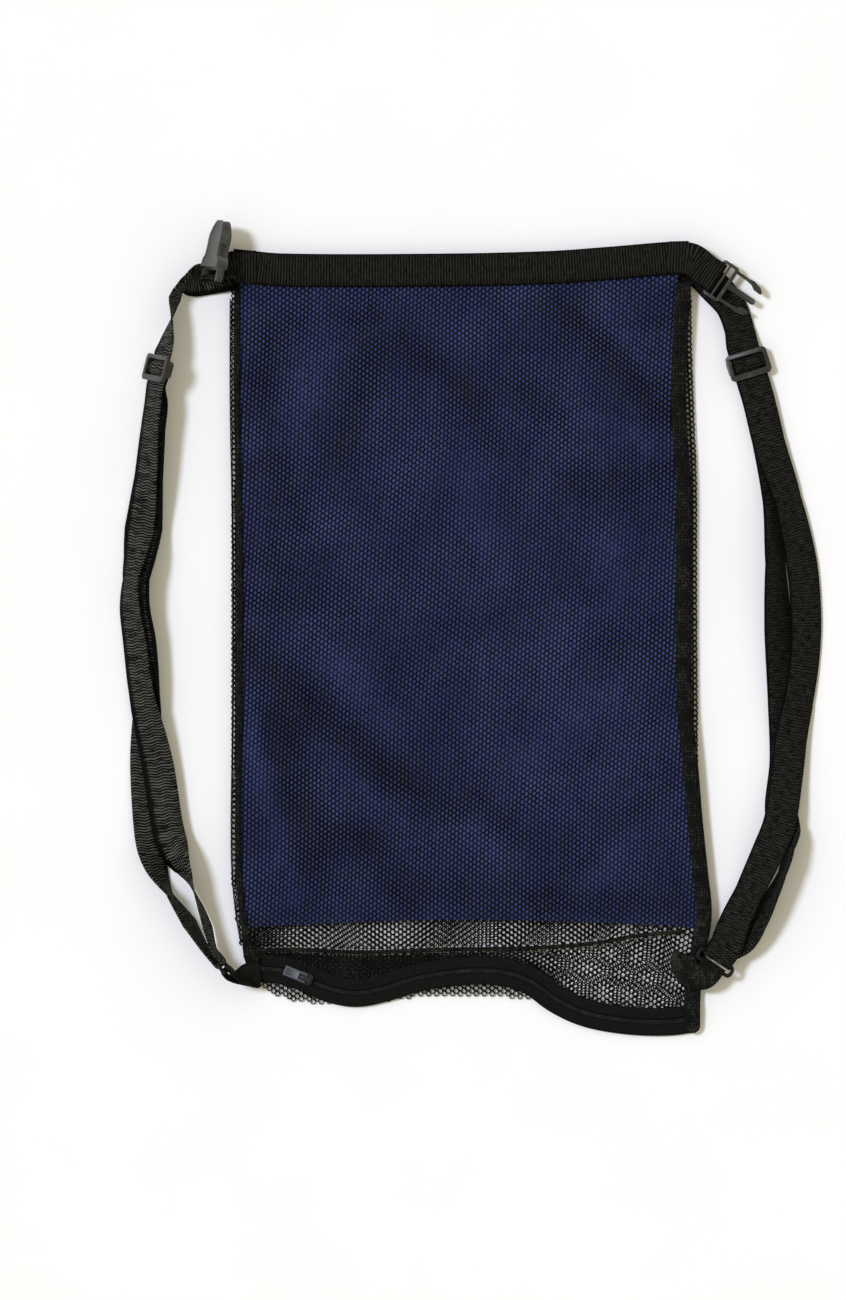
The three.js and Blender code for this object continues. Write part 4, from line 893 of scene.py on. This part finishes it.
# %% Lining
LINING_CELL = 4.5
LINING_SINK = 1.5
LINING_WIDTH, LINING_LENGTH, LINING_WALL = 330, 486, 0.7
MOUTH_TUCK, LEFT_TUCK, SIDE_TUCKS = 8, 7.5, 12


def lining_places():
    across = np.linspace(0, 1, round(LINING_WIDTH / LINING_CELL) + 1)
    down = np.linspace(0, 1, round(LINING_LENGTH / LINING_CELL) + 1)
    down, across = np.meshgrid(down, across, indexing="ij")
    x, y = np.zeros(down.shape), np.zeros(down.shape)
    for _ in range(4):
        y = mouth_edge(x) - MOUTH_TUCK + (lining_foot(x) - mouth_edge(x) + MOUTH_TUCK) * down
        x = left_edge(y) + LEFT_TUCK + (welt(y) - left_edge(y) - SIDE_TUCKS) * across
    return np.stack([x, y, front_height(x, y) - LINING_SINK], axis=2)


lining = lay_sheet("lining_cloth", lining_places(), LINING_WALL, navy_cloth, rounding=0)
attach(lining, "lining")

# %% [markdown]
# ## Webbing band and bound seams
# The mouth is bound with ribbed webbing, outside the front and inside the back. Each rib is real: the rows
# of the grid lie half a rib apart, and every other row is pushed out a little. The seams down the sides and
# along the foot are bound with tape, which widens at the left corner and is rounded off at the right one.

# %% Strips along a line
def strip_places(points, sides, width, columns=4):
    """Rows of points across a strip, from its middle line and its sideways directions."""
    run = unit(np.gradient(points, axis=0))
    sides = unit(sides - (sides * run).sum(axis=1, keepdims=True) * run)
    offset = np.linspace(-0.5, 0.5, columns + 1) * np.reshape(width, (-1, 1))
    return points[:, None] + sides[:, None] * offset[..., None]


def flat_sides(points):
    """Sideways directions of a strip that lies level."""
    run = np.gradient(points, axis=0)
    return unit(np.stack([-run[:, 1], run[:, 0], np.zeros(len(run))], axis=1))


def ribbed(places, rib):
    """Every other row pushed out of the strip, as the ribs of a webbing."""
    raised = places.copy()
    raised[1::2, :, 2] += rib
    return raised


print("strip maker ready")

# %% Mouth band
RIB_STEP = 0.9
RIB = 0.16
BAND_WAVE, BAND_WAVE_LENGTH = 0.12, 13.0
BAND_TRIM, BAND_WALL = 0.2, 1.35


def mouth_band(name, node, height, from_x, to_x):
    x = np.arange(from_x, to_x, RIB_STEP)
    wave = BAND_WAVE * np.sin(x / BAND_WAVE_LENGTH)
    points = np.stack([x, band_middle(x), height + wave], axis=1)
    places = ribbed(strip_places(points, flat_sides(points), WEB_WIDTH - BAND_TRIM), RIB)
    attach(lay_sheet(name, places, BAND_WALL, band_webbing, segments=1), node)


mouth_band("mouth_band_front", "top_band_front", LOFT + 1.1, -181, 165.5)
mouth_band("mouth_band_back", "top_band_back", 2.1, -178, 164)

# %% Bound seams
BINDING_WALL = 0.9
BINDING_RISE = 1.1
FOOT_LIFT = 0.6
BINDING_CROWN, BINDING_SETTLE = 0.35, 0.2
OVER_ZIP, OVER_ZIP_BLEND = 2.4, (281, 291)
LEFT_TAPE_INSET, LEFT_TAPE_WIDTH = 6.4, 4.4
CORNER_WIDENS, CORNER_BLEND = 5.6, (225, 250)
RIGHT_TAPE_WIDTH, ROUNDED_END = 11.5, 5
FOOT_TAPE_WIDTH = 3.0


def seam_tape(name, node, points, width):
    places = strip_places(points, flat_sides(points), width)
    crown = BINDING_CROWN * np.cos(np.linspace(-0.5, 0.5, places.shape[1]) * np.pi)
    places[:, :, 2] += crown[None] - BINDING_SETTLE
    attach(lay_sheet(name, places, BINDING_WALL, binding_tape, segments=1), node)


def side_line(middle, from_y, to_y):
    y = np.arange(from_y, to_y, -2.0)
    x = middle(y)
    under = np.where(y > seam(x), front_height(x, y), foot_height(x, y) + FOOT_LIFT)
    over_zip = OVER_ZIP * smooth_step(-y, *OVER_ZIP_BLEND)
    return np.stack([x, y, under + BINDING_RISE + over_zip], axis=1)


left_line = side_line(lambda y: left_edge(y) + LEFT_TAPE_INSET, 257, -268)
left_width = LEFT_TAPE_WIDTH + CORNER_WIDENS * smooth_step(-left_line[:, 1], *CORNER_BLEND)
seam_tape("side_tape_left", "side_binding_left", left_line, left_width)
right_line = side_line(welt, 262, -309)
to_end = np.clip((right_line[:, 1] - right_line[-1, 1]) / ROUNDED_END, 0.05, 1)
right_width = RIGHT_TAPE_WIDTH * np.sqrt(to_end * (2 - to_end))
seam_tape("side_tape_right", "side_binding_right", right_line, right_width)
foot_x = np.arange(-170, 163, 4.0)
foot_z = front_height(foot_x, seam(foot_x)) + BINDING_RISE
foot_line = np.stack([foot_x, seam(foot_x), foot_z], axis=1)
seam_tape("foot_tape", "seam_binding", foot_line, FOOT_TAPE_WIDTH)

# %% [markdown]
# ## Shoulder straps
# Each strap is one length of webbing: from the top corner, over the slider's middle bar, down to the ring
# at the bottom corner, round it, and back up to be sewn round the slider's bar. Its route is a table of
# stations: x, y, z, and the angle that the webbing is turned about its own run. A smooth curve joins the
# stations.

# %% Stations along a webbing
def station_rows(rows):
    """Middles and sideways directions of a webbing, from rows of place and turn."""
    table = np.array(rows, float)
    heading = np.gradient(table[:, :2], axis=0)
    if len(table) > 2:
        heading[1:-1] = table[2:, :2] - table[:-2, :2]
    return table[:, :3], turned_side(np.arctan2(heading[:, 1], heading[:, 0]), np.radians(table[:, 3]))


def turned_side(heading, tilt):
    level = np.stack([-np.sin(heading), np.cos(heading), np.zeros_like(heading)], axis=-1)
    return level * np.cos(tilt)[..., None] + np.array([0, 0, 1]) * np.sin(tilt)[..., None]


class Seat:
    """Where a fitting sits: its axes along the webbing, across it and out of its face."""

    def __init__(self, x, y, z, heading, tilt):
        heading, tilt = np.radians(heading), np.radians(tilt)
        self.place = np.array([x, y, z], float)
        self.along = np.array([np.cos(heading), np.sin(heading), 0])
        self.side = turned_side(np.array(heading), np.array(tilt))
        self.out = np.cross(self.along, self.side)

    def points(self, along, out):
        return self.place + np.outer(along, self.along) + np.outer(out, self.out)

    def local(self, points):
        return (points - self.place) @ np.stack([self.along, self.side, self.out], axis=1)

    def behind(self):
        """The seat of a webbing that comes at this fitting from its back."""
        seat = Seat(0, 0, 0, 0, 0)
        seat.place, seat.along = self.place, -self.out
        seat.side, seat.out = self.side, self.along
        return seat


LOOP_RADIUS = 2.6


def round_bar(seat, bar, towards, face, side, reach):
    """Webbing in over a bar, round its far side, and back under it."""
    angle = np.radians([36, 72, 108, 144])
    along = np.concatenate([[-reach, -reach / 2, 0], LOOP_RADIUS * np.sin(angle), [0, -reach / 2, -reach]])
    out = np.concatenate([[LOOP_RADIUS] * 3, LOOP_RADIUS * np.cos(angle), [-LOOP_RADIUS] * 3])
    return seat.points(bar + towards * along, face * out), np.repeat(side[None], len(along), axis=0)


def smooth_route(parts, spacing):
    """Close stations along one smooth curve through all the given ones."""
    points = np.concatenate([part[0] for part in parts])
    sides = np.concatenate([part[1] for part in parts])
    padded = np.concatenate([[2 * points[0] - points[1]], points, [2 * points[-1] - points[-2]]])
    smooth, turned = [], []
    for k in range(len(points) - 1):
        before, start, end, after = padded[k:k + 4]
        steps = (start - before, end - start, after - end)
        gaps = [max(np.linalg.norm(step), 1e-6) ** 0.5 for step in steps]
        leave = (start - before) / gaps[0] - (end - before) / (gaps[0] + gaps[1]) + (end - start) / gaps[1]
        arrive = (end - start) / gaps[1] - (after - start) / (gaps[1] + gaps[2]) + (after - end) / gaps[2]
        leave, arrive = leave * gaps[1], arrive * gaps[1]
        count = max(1, round(np.linalg.norm(end - start) / spacing))
        f = (np.arange(count) / count)[:, None]
        square = -3 * start + 3 * end - 2 * leave - arrive
        cube = 2 * start - 2 * end + leave + arrive
        smooth.append(start + leave * f + (square * f ** 2 + cube * f ** 3))
        turned.append(sides[k] + (sides[k + 1] - sides[k]) * f)
    return np.concatenate([*smooth, points[-1:]]), np.concatenate([*turned, sides[-1:]])


print("webbing turns round a bar at", LOOP_RADIUS, "mm")

# %% Strap routes
STRAP_LEFT = {
    "upper": [
        (-172, 269.6, 4.2, 180), (-182, 268.2, 4.1, 180), (-191, 266.6, 3.3, 180), (-205, 264.2, 3, 176),
        (-212, 262.6, 8.8, 140), (-217, 260.4, 12.2, 117), (-221.8, 257, 13.4, 102), (-225.5, 249, 13.2, 108),
        (-227.6, 236, 13.6, 90), (-231, 220, 14.6, 68),
    ],
    "front": [
        (-242, 170, 15.6, 59), (-244.5, 150, 14.8, 57), (-247.6, 113, 12.8, 45), (-252.4, 75, 9.2, 24),
        (-255.8, 54, 12.2, 48), (-259, 36, 14.6, 62), (-259.6, 15, 13.6, 52), (-256.2, -10, 12.4, 45),
        (-250.8, -50, 13, 40), (-238.6, -104, 9.6, 10), (-229, -160, 10, 8), (-218.6, -183, 16.4, 62),
        (-213, -195, 16, 84), (-205.5, -213, 15.6, 97), (-200.6, -227, 15.8, 103),
    ],
    "back": [
        (-237, 170, 14, 239), (-239.2, 150, 13.4, 237), (-243, 113, 11.2, 225), (-246.2, 75, 6.8, 204),
        (-247.8, 54, 10.6, 228), (-250.6, 36, 12.6, 241), (-251.8, 15, 12, 232), (-248.4, -10, 10.6, 225),
        (-246.4, -50, 8.9, 219), (-247.4, -104, 3.6, 186), (-244, -158, 4.2, 170), (-240, -181, 10.6, 132),
        (-229.5, -202, 13.8, 96), (-214.5, -224, 14.2, 112),
    ],
    "slider": Seat(-237, 196.5, 16.4, 256, 58),
    "ring": Seat(-188.5, -257.3, 16.3, -50, 97),
    "face": -1,
}
STRAP_RIGHT = {
    "upper": [
        (160, 275, 4.2, 0), (172.5, 270, 4, 0), (184, 259, 3.2, 0), (196.5, 244, 5.4, -20),
        (203, 226, 6.9, -24),
    ],
    "front": [
        (217.5, 173, 6.2, -4), (226, 138, 6.2, -6), (239.4, 97, 9.8, -32), (250.4, 48, 6.2, -18),
        (253.6, 6, 6.2, -20), (252.3, -25, 6.8, -24), (247.8, -55, 7.8, -24), (242.4, -82, 7.4, -6),
        (239, -111, 9, 0), (233, -148, 16, 3), (224.6, -169, 18, 15), (209.8, -201, 14.4, 36),
        (198.8, -224, 14.6, 24),
    ],
    "back": [
        (217.5, 173, 3.8, -4), (225.8, 138, 3.2, -6), (231, 95, 7.8, -33), (230.2, 48, 11, -52),
        (232.6, -2, 7.6, -30), (236.4, -55, 5, -17), (238.4, -101, 2.8, 0), (234.8, -140, 4, 5),
        (239.2, -158, 9.8, 38), (239.6, -170, 13.4, 74), (235, -187, 13.8, 80), (227.4, -203, 13.4, 70),
        (216.4, -222, 12.6, 52), (204.2, -237, 11.4, 26),
    ],
    "slider": Seat(209.4, 200.3, 6.4, -73, -6),
    "ring": Seat(184.2, -254, 15.4, 236.5, 0),
    "face": 1,
}
OVER_SLIDER = np.array([
    (-14, 0), (-9, 0), (-6.4, 0.05), (-5.1, 0.7), (-3.5, 2.2), (-2, 3.1), (0, 3.45),
    (2, 3.1), (3.5, 2.2), (5.1, 0.7), (6.4, 0.05), (9.5, 0), (14, 0),
])
UNDER_SLIDER = np.array([(14, -2.1), (9.5, -2.1), (6, -2.4), (3.2, -3.4)])
RING_REACH = 3.8
STRAP_STEP = 2.6
WIDTH_TRIM, WALL_TRIM = 0.3, 0.1


def backwards(part):
    return part[0][::-1], part[1][::-1]


def strap_route(strap):
    slider, ring = strap["slider"], strap["ring"]
    turn = np.radians(np.arange(0, 181, 36))
    sewn_along = np.concatenate([UNDER_SLIDER[:, 0], -LOOP_RADIUS * np.sin(turn)])
    sewn_out = np.concatenate([UNDER_SLIDER[:, 1], -1 - LOOP_RADIUS * np.cos(turn)])
    over_side = np.repeat(slider.side[None], len(OVER_SLIDER), axis=0)
    sewn_side = np.repeat(strap["face"] * slider.side[None], len(sewn_along), axis=0)
    return smooth_route([
        station_rows(strap["upper"]),
        (slider.points(*OVER_SLIDER.T), over_side),
        station_rows(strap["front"]),
        round_bar(ring, -RING_REACH, 1, strap["face"], ring.side, 10),
        backwards(station_rows(strap["back"])),
        (slider.points(sewn_along, sewn_out), sewn_side),
    ], STRAP_STEP)


def make_webbing(name, node, route, width=WEB_WIDTH, finish=strap_webbing):
    places = strip_places(*route, width - WIDTH_TRIM)
    attach(lay_sheet(name, places, WEB_WALL - WALL_TRIM, finish, rounding=0.4, segments=1), node)


# The left strap's lighter webbing is painted light, for the sun its tilted face catches.
make_webbing("shoulder_strap_left", "strap_left", strap_route(STRAP_LEFT), finish=lit_strap_webbing)
make_webbing("shoulder_strap_right", "strap_right", strap_route(STRAP_RIGHT))

# %% [markdown]
# ## Webbing tabs
# Short tabs hold the rings at the bottom corners and the two halves of the buckle at the top corners. Each
# goes round its fitting's bar. The left ring's tab turns up on edge as the ring does, and the right ring's
# curls over the corner of the bag. The socket half stands on its edge, so its tab reaches it from behind.

# %% Tabs at the rings and the buckle
MALE = Seat(184.4, 266, 10.4, -34, 0)
FEMALE = Seat(-197.4, 263.8, 22.4, 78, 114)
TAB_SEAT = 13.45
TAB_STEP = 2.0
RING_TAB_WIDTH = 20


def tab_route(over, loop, under=None):
    parts = [station_rows(over), loop]
    if under:
        parts.append(backwards(station_rows(under)))
    return smooth_route(parts, TAB_STEP)


ring_left, ring_right = STRAP_LEFT["ring"], STRAP_RIGHT["ring"]
# This tab has the darker webbing: painted shade.
make_webbing("ring_loop_left", "ring_tab_left", tab_route(
    [(-161, -263.2, 9.6, -2), (-166.2, -263.6, 10.6, 4), (-171.2, -264.2, 13.6, 42),
     (-176.4, -264.8, 15.8, 70)],
    round_bar(ring_left, RING_REACH, -1, -1, ring_left.side, 4),
    [(-161, -263.2, 7.4, -2), (-166.2, -263.6, 8.4, 4), (-172, -265.4, 11.8, 42), (-178, -266.6, 14.8, 70)],
), RING_TAB_WIDTH, shaded_tab_webbing)
make_webbing("ring_loop_right", "ring_tab_right", tab_route(
    [(162.2, -247.4, 12.6, 0), (160.3, -254, 12.6, 0), (162.6, -260.4, 12.6, 0), (168.3, -264.2, 12.9, 0),
     (175.7, -264.8, 14.4, 0)],
    round_bar(ring_right, RING_REACH, -1, 1, -ring_right.side, 3),
    [(162.2, -247.4, 10.6, 0), (160.3, -254, 10.6, 0), (162.6, -260.4, 10.6, 0), (168.3, -264.2, 10.9, 0),
     (175.7, -264.8, 11.7, 0)],
), RING_TAB_WIDTH, binding_tape)
make_webbing("buckle_loop_right", "buckle_tab_right", tab_route(
    [(149, 280.6, TAB_SEAT, 0), (166.5, 279, TAB_SEAT, 0), (173, 274.2, TAB_SEAT - 0.2, 0)],
    round_bar(MALE, 0, 1, 1, MALE.side, 8),
    [(163, 279, 6.6, 0), (170, 275.6, 6.6, 0)],
), finish=band_webbing)
make_webbing("buckle_loop_left", "buckle_tab_left", tab_route(
    [(-164, 273.4, TAB_SEAT, 0), (-174, 273.4, TAB_SEAT + 0.4, 0), (-182.5, 272.4, TAB_SEAT + 2.6, 0),
     (-187.5, 268.4, TAB_SEAT + 3.6, 54)],
    round_bar(FEMALE.behind(), 0, 1, 1, FEMALE.side, 8),
), finish=band_webbing)

# %% [markdown]
# ## Moulded fittings
# The buckle halves, the sliders and the zip's slider already have their right shape in the solid model. A
# copy of that mesh is merged, because a loose mesh has every corner twice, and its flat triangles are
# dissolved into whole faces. Some faces are then sunk with two insets, as the real moulding has them, and a
# Bevel rounds every edge. The rings are round in section, so each is a torus whose circle is drawn out into
# a rounded oblong.

# %% Fitting maker
SUNK_EDGE = 0.15


def edit(piece):
    bpy.ops.object.select_all(action="DESELECT")
    piece.select_set(True)
    bpy.context.view_layer.objects.active = piece
    bpy.ops.object.mode_set(mode="EDIT")
    bpy.context.tool_settings.mesh_select_mode = (False, False, True)


def solid_copy(node, name):
    piece = bpy.data.objects.new(name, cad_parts[node].data.copy())
    bpy.context.scene.collection.objects.link(piece)
    piece.data.materials.clear()
    edit(piece)
    bpy.ops.mesh.select_all(action="SELECT")
    bpy.ops.mesh.remove_doubles(threshold=0.005 * MM)
    bpy.ops.mesh.dissolve_limited(angle_limit=radians(1))
    bpy.ops.mesh.select_all(action="DESELECT")
    bpy.ops.object.mode_set(mode="OBJECT")
    return piece


def sink_faces(piece, chosen, rim, depth):
    """Faces that chosen() picks get a rim and a sunk floor."""
    for face in piece.data.polygons:
        face.select = bool(chosen(np.array(face.center) / MM, np.array(face.normal), face.area / MM ** 2))
    picked = sum(face.select for face in piece.data.polygons)
    edit(piece)
    bpy.ops.mesh.inset(thickness=rim * MM, depth=0)
    bpy.ops.mesh.inset(thickness=SUNK_EDGE * MM, depth=-depth * MM)
    bpy.ops.mesh.select_all(action="DESELECT")
    bpy.ops.object.mode_set(mode="OBJECT")
    print(piece.name, picked, "faces sunk")


def round_edges(piece, finish, width, segments=2):
    use_modifier(
        piece, "BEVEL", width=width * MM, segments=segments, limit_method="ANGLE", angle_limit=radians(32),
        use_clamp_overlap=True,
    )
    piece.data.materials.append(finish)
    bpy.ops.object.select_all(action="DESELECT")
    piece.select_set(True)
    bpy.ops.object.shade_smooth_by_angle(angle=radians(35))


print("fitting maker ready")

# %% Buckle and sliders
def on_face(seat, face, low, high):
    """Picks the faces that look out of a fitting and lie between two distances along it."""
    def chosen(middle, normal, area):
        along, side, _ = seat.local(middle)
        return abs(normal @ seat.out) > 0.99 and abs(side) < face and low < along < high and area > 20
    return chosen


socket_half = solid_copy("buckle_female", "buckle_socket")
sink_faces(socket_half, on_face(FEMALE, 4, 15, 40), 1.8, 0.5)
# Lighter plastic on the socket half: painted light.
round_edges(socket_half, lit_socket_plastic, 0.55)
attach(socket_half, "buckle_female")

plug_half = solid_copy("buckle_male", "buckle_plug")
sink_faces(plug_half, on_face(MALE, 1.0, 14, 34), 0.8, 0.5)
round_edges(plug_half, black_plastic, 0.4)
attach(plug_half, "buckle_male")

for name, node in (("strap_slider_left", "triglide_left"), ("strap_slider_right", "triglide_right")):
    slider = solid_copy(node, name)
    round_edges(slider, black_plastic, 0.6)
    attach(slider, node)

# %% Rings
RING_HALF_WIDTH = 14.6
RING_CORNER = 3.0
RING_WIRE = 1.5
RING_EASE = 0.35
TORUS_RADIUS = 100


def ring_line(turn):
    """Place and outward direction on a rounded oblong, by the angle round it."""
    outward = np.stack([np.cos(turn), np.sin(turn)], axis=1)
    flat = np.sign(outward) * np.array([RING_REACH - RING_CORNER, RING_HALF_WIDTH - RING_CORNER])
    ease = np.clip(np.abs(outward) / RING_EASE, 0, 1)
    return flat * ease + outward * RING_CORNER, outward


def make_ring(name, node, seat):
    bpy.ops.object.select_all(action="DESELECT")
    bpy.ops.mesh.primitive_torus_add(
        major_segments=56, minor_segments=12, major_radius=TORUS_RADIUS * MM, minor_radius=RING_WIRE * MM,
    )
    ring = bpy.context.object
    ring.name = name
    points = np.array([vertex.co for vertex in ring.data.vertices]) / MM
    reach = np.hypot(points[:, 0], points[:, 1]) - TORUS_RADIUS
    line, outward = ring_line(np.arctan2(points[:, 1], points[:, 0]))
    flat = line + outward * reach[:, None]
    placed = seat.place + flat[:, :1] * seat.along + flat[:, 1:] * seat.side + points[:, 2:] * seat.out
    ring.data.vertices.foreach_set("co", (placed * MM).astype(np.float32).ravel())
    ring.data.update()
    bpy.ops.object.shade_smooth()
    ring.data.materials.append(shaded_ring_plastic)
    attach(ring, node)


make_ring("corner_ring_left", "ring_left", ring_left)
make_ring("corner_ring_right", "ring_right", ring_right)

# %% [markdown]
# ## Zip
# The zip waves where the cloth was pulled. Two tapes lie beside a coil of plastic loops. One loop is
# modelled as a flat ring and copied along the curve, every loop turned to the curve's own direction, and a
# core of cloth runs through them. The slider carries a pull that can swing on its pin.

# %% Zip line and tapes
ZIP_STEP = 1.5
TAPE_WIDTH = 9.0
TAPE_REACH = 6.15
TAPE_WALL = 0.8
TAPE_RISE = 1.1
TAPE_WAVE, TAPE_WAVE_ROWS = 0.12, 3.0


def zip_line():
    table = np.array([(x, y, 0) for x, y in ZIP], float)
    points, _ = smooth_route([(table, np.zeros_like(table))], ZIP_STEP)
    length = lengths_along(points)
    at = np.arange(0, length[-1], ZIP_STEP)
    return np.stack([np.interp(at, length, points[:, axis]) for axis in (0, 1)], axis=1)


zip_points = zip_line()
zip_run = unit(np.gradient(zip_points, axis=0))
zip_side = np.stack([-zip_run[:, 1], zip_run[:, 0]], axis=1)


def tape_places(reach):
    offset = reach + np.linspace(-0.5, 0.5, 7) * TAPE_WIDTH
    flat = zip_points[::2, None] + zip_side[::2, None] * offset[None, :, None]
    height = foot_height(flat[..., 0], flat[..., 1]) + TAPE_RISE
    height += TAPE_WAVE * np.sin(np.arange(height.shape[0]) / TAPE_WAVE_ROWS)[:, None]
    return np.concatenate([flat, height[..., None]], axis=2)


for name, node, reach in (
    ("zip_tape_upper", "zip_tape_front", TAPE_REACH), ("zip_tape_lower", "zip_tape_back", -TAPE_REACH),
):
    attach(lay_sheet(name, tape_places(reach), TAPE_WALL, zip_cloth, segments=1), node)

# %% Zip coil
COIL_RISE = 1.6
LOOP_SIZE = 1.15
LOOP_WIRE = 0.36
LOOP_FLATTENED = 0.42
CORE_DROP = 0.6
CORE_WIDTH = 3.4
CORE_WALL = 0.8


def repeat_shape(name, shape, middles, runs, sides, ups, finish):
    """One mesh of many copies of a small shape, each with its own directions."""
    points = np.array([vertex.co for vertex in shape.data.vertices]) / MM
    faces = np.array([list(face.vertices) for face in shape.data.polygons])
    placed = (
        middles[:, None]
        + points[None, :, :1] * runs[:, None]
        + points[None, :, 1:2] * sides[:, None]
        + points[None, :, 2:] * ups[:, None]
    )
    numbers = faces[None] + (np.arange(len(middles)) * len(points))[:, None, None]
    bpy.data.objects.remove(shape)
    return new_piece(name, placed.reshape(-1, 3), numbers.reshape(-1, 4), finish)


def level(flat):
    return np.concatenate([flat, np.zeros((len(flat), 1))], axis=1)


bpy.ops.object.select_all(action="DESELECT")
bpy.ops.mesh.primitive_torus_add(
    major_segments=8, minor_segments=4, major_radius=LOOP_SIZE * MM, minor_radius=LOOP_WIRE * MM,
)
loop = bpy.context.object
for vertex in loop.data.vertices:
    vertex.co.x *= LOOP_FLATTENED
coil_height = foot_height(zip_points[:, 0], zip_points[:, 1]) + COIL_RISE
coil_middle = np.concatenate([zip_points, coil_height[:, None]], axis=1)
zip_loops = repeat_shape(
    "zip_loops", loop, coil_middle, level(zip_run), level(zip_side), upward(len(zip_points)), coil_plastic,
)
attach(zip_loops, "zip_coil")

core_middle = coil_middle[::2] - np.array([0, 0, CORE_DROP])
core_places = strip_places(core_middle, level(zip_side[::2]), CORE_WIDTH, 2)
zip_core = lay_sheet("zip_core", core_places, CORE_WALL, zip_cloth, rounding=0.25, segments=1)
attach(zip_core, "zip_coil")

# %% Zip slider and pull
zip_slider = solid_copy("zip_slider", "zip_slider_body")
round_edges(zip_slider, coil_plastic, 0.35)
attach(zip_slider, "zip_slider")

PULL_PIN = np.array([-126.469, -266.2, 11.135])
PULL_HEADING = -22.272
PULL_DROOP = 3.5
PULL_SIZE = (17.6, 7.5, 1.2)
PULL_MIDDLE = -8.2
SLOT_FROM, SLOT_TO, SLOT_HALF = -5.2, -0.6, 2.25
GRIP_RIM, GRIP_EDGE, GRIP_DEPTH = 1.0, 0.2, 0.3


def cut_across(place, normal):
    bpy.ops.mesh.select_all(action="SELECT")
    bpy.ops.mesh.bisect(plane_co=[value * MM for value in place], plane_no=normal)


def pick_faces(piece, chosen):
    """Leaves edit mode, selects the faces that chosen() picks, and goes back."""
    bpy.ops.object.mode_set(mode="OBJECT")
    for face in piece.data.polygons:
        face.select = bool(chosen(np.array(face.center) / MM, np.array(face.normal)))
    edit(piece)


def over_slot(middle, normal):
    return abs(normal[2]) > 0.9 and SLOT_FROM < middle[0] < SLOT_TO and abs(middle[1]) < 1


def on_grip(middle, normal):
    return normal[2] > 0.9 and middle[0] < SLOT_FROM


def model_pull():
    """A flat tab with a slot for the pin and a sunk grip, lying along x."""
    bpy.ops.object.select_all(action="DESELECT")
    scale = [size * MM for size in PULL_SIZE]
    bpy.ops.mesh.primitive_cube_add(size=1, location=(PULL_MIDDLE * MM, 0, 0), scale=scale)
    pull = bpy.context.object
    pull.name = "zip_pull_tab"
    bpy.ops.object.transform_apply(location=True, rotation=False, scale=True)
    edit(pull)
    for along in (SLOT_FROM, SLOT_TO):
        cut_across((along, 0, 0), (1, 0, 0))
    for side in (-SLOT_HALF, SLOT_HALF):
        cut_across((0, side, 0), (0, 1, 0))
    pick_faces(pull, over_slot)
    bpy.ops.mesh.bridge_edge_loops()
    pick_faces(pull, on_grip)
    bpy.ops.mesh.inset(thickness=GRIP_RIM * MM, depth=0)
    bpy.ops.mesh.inset(thickness=GRIP_EDGE * MM, depth=-GRIP_DEPTH * MM)
    bpy.ops.object.mode_set(mode="OBJECT")
    return pull


def place_pull(pull):
    heading, droop = np.radians(PULL_HEADING), np.radians(PULL_DROOP)
    run = np.array([np.cos(heading), np.sin(heading), 0])
    side = np.array([-np.sin(heading), np.cos(heading), 0])
    along = run * np.cos(droop) + np.array([0, 0, np.sin(droop)])
    points = np.array([vertex.co for vertex in pull.data.vertices]) / MM
    placed = PULL_PIN + points @ np.stack([along, side, np.cross(along, side)])
    pull.data.vertices.foreach_set("co", (placed * MM).astype(np.float32).ravel())
    pull.data.update()


zip_pull = model_pull()
place_pull(zip_pull)
round_edges(zip_pull, pull_paint, 0.3)
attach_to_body(zip_pull, "pull")
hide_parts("zip_pull")
print(zip_pull.name, len(zip_pull.data.polygons), "faces")

# %% [markdown]
# ## Stitching
# Two rows of stitches hold the mouth band. One stitch is modelled as a small bead with sloping sides, drawn
# out along the seam, and copied along each row.

# %% Stitches
STITCH_PITCH = 3.6
STITCH_SIZE = (2.5, 0.55, 0.45)
STITCH_RISE = 2.0
TOP_LENGTH, TOP_WIDTH = 0.6, 0.7


def stitch_shape():
    bpy.ops.object.select_all(action="DESELECT")
    bpy.ops.mesh.primitive_cube_add(size=1)
    stitch = bpy.context.object
    for vertex in stitch.data.vertices:
        vertex.co = [value * size * MM for value, size in zip(vertex.co, STITCH_SIZE)]
        if vertex.co.z > 0:
            vertex.co.x *= TOP_LENGTH
            vertex.co.y *= TOP_WIDTH
    return stitch


def stitch_row(name, points, node):
    """Stitches at even steps along a level line of close points."""
    length = lengths_along(points)
    at = np.arange(STITCH_PITCH, length[-1] - STITCH_PITCH / 2, STITCH_PITCH)
    middles = np.stack([np.interp(at, length, points[:, axis]) for axis in range(3)], axis=1)
    runs, ups = unit(np.gradient(middles, axis=0)), upward(len(middles))
    row = repeat_shape(name, stitch_shape(), middles, runs, np.cross(ups, runs), ups, sewing_thread)
    attach(row, node)


row_x = np.arange(-178, 148, 2.0)
row_z = np.full(len(row_x), LOFT + STITCH_RISE)
for name, offset in (("band_stitches_low", -10.6), ("band_stitches_high", 10.4)):
    row_points = np.stack([row_x, band_middle(row_x) + offset, row_z], axis=1)
    stitch_row(name, row_points, "top_band_front")
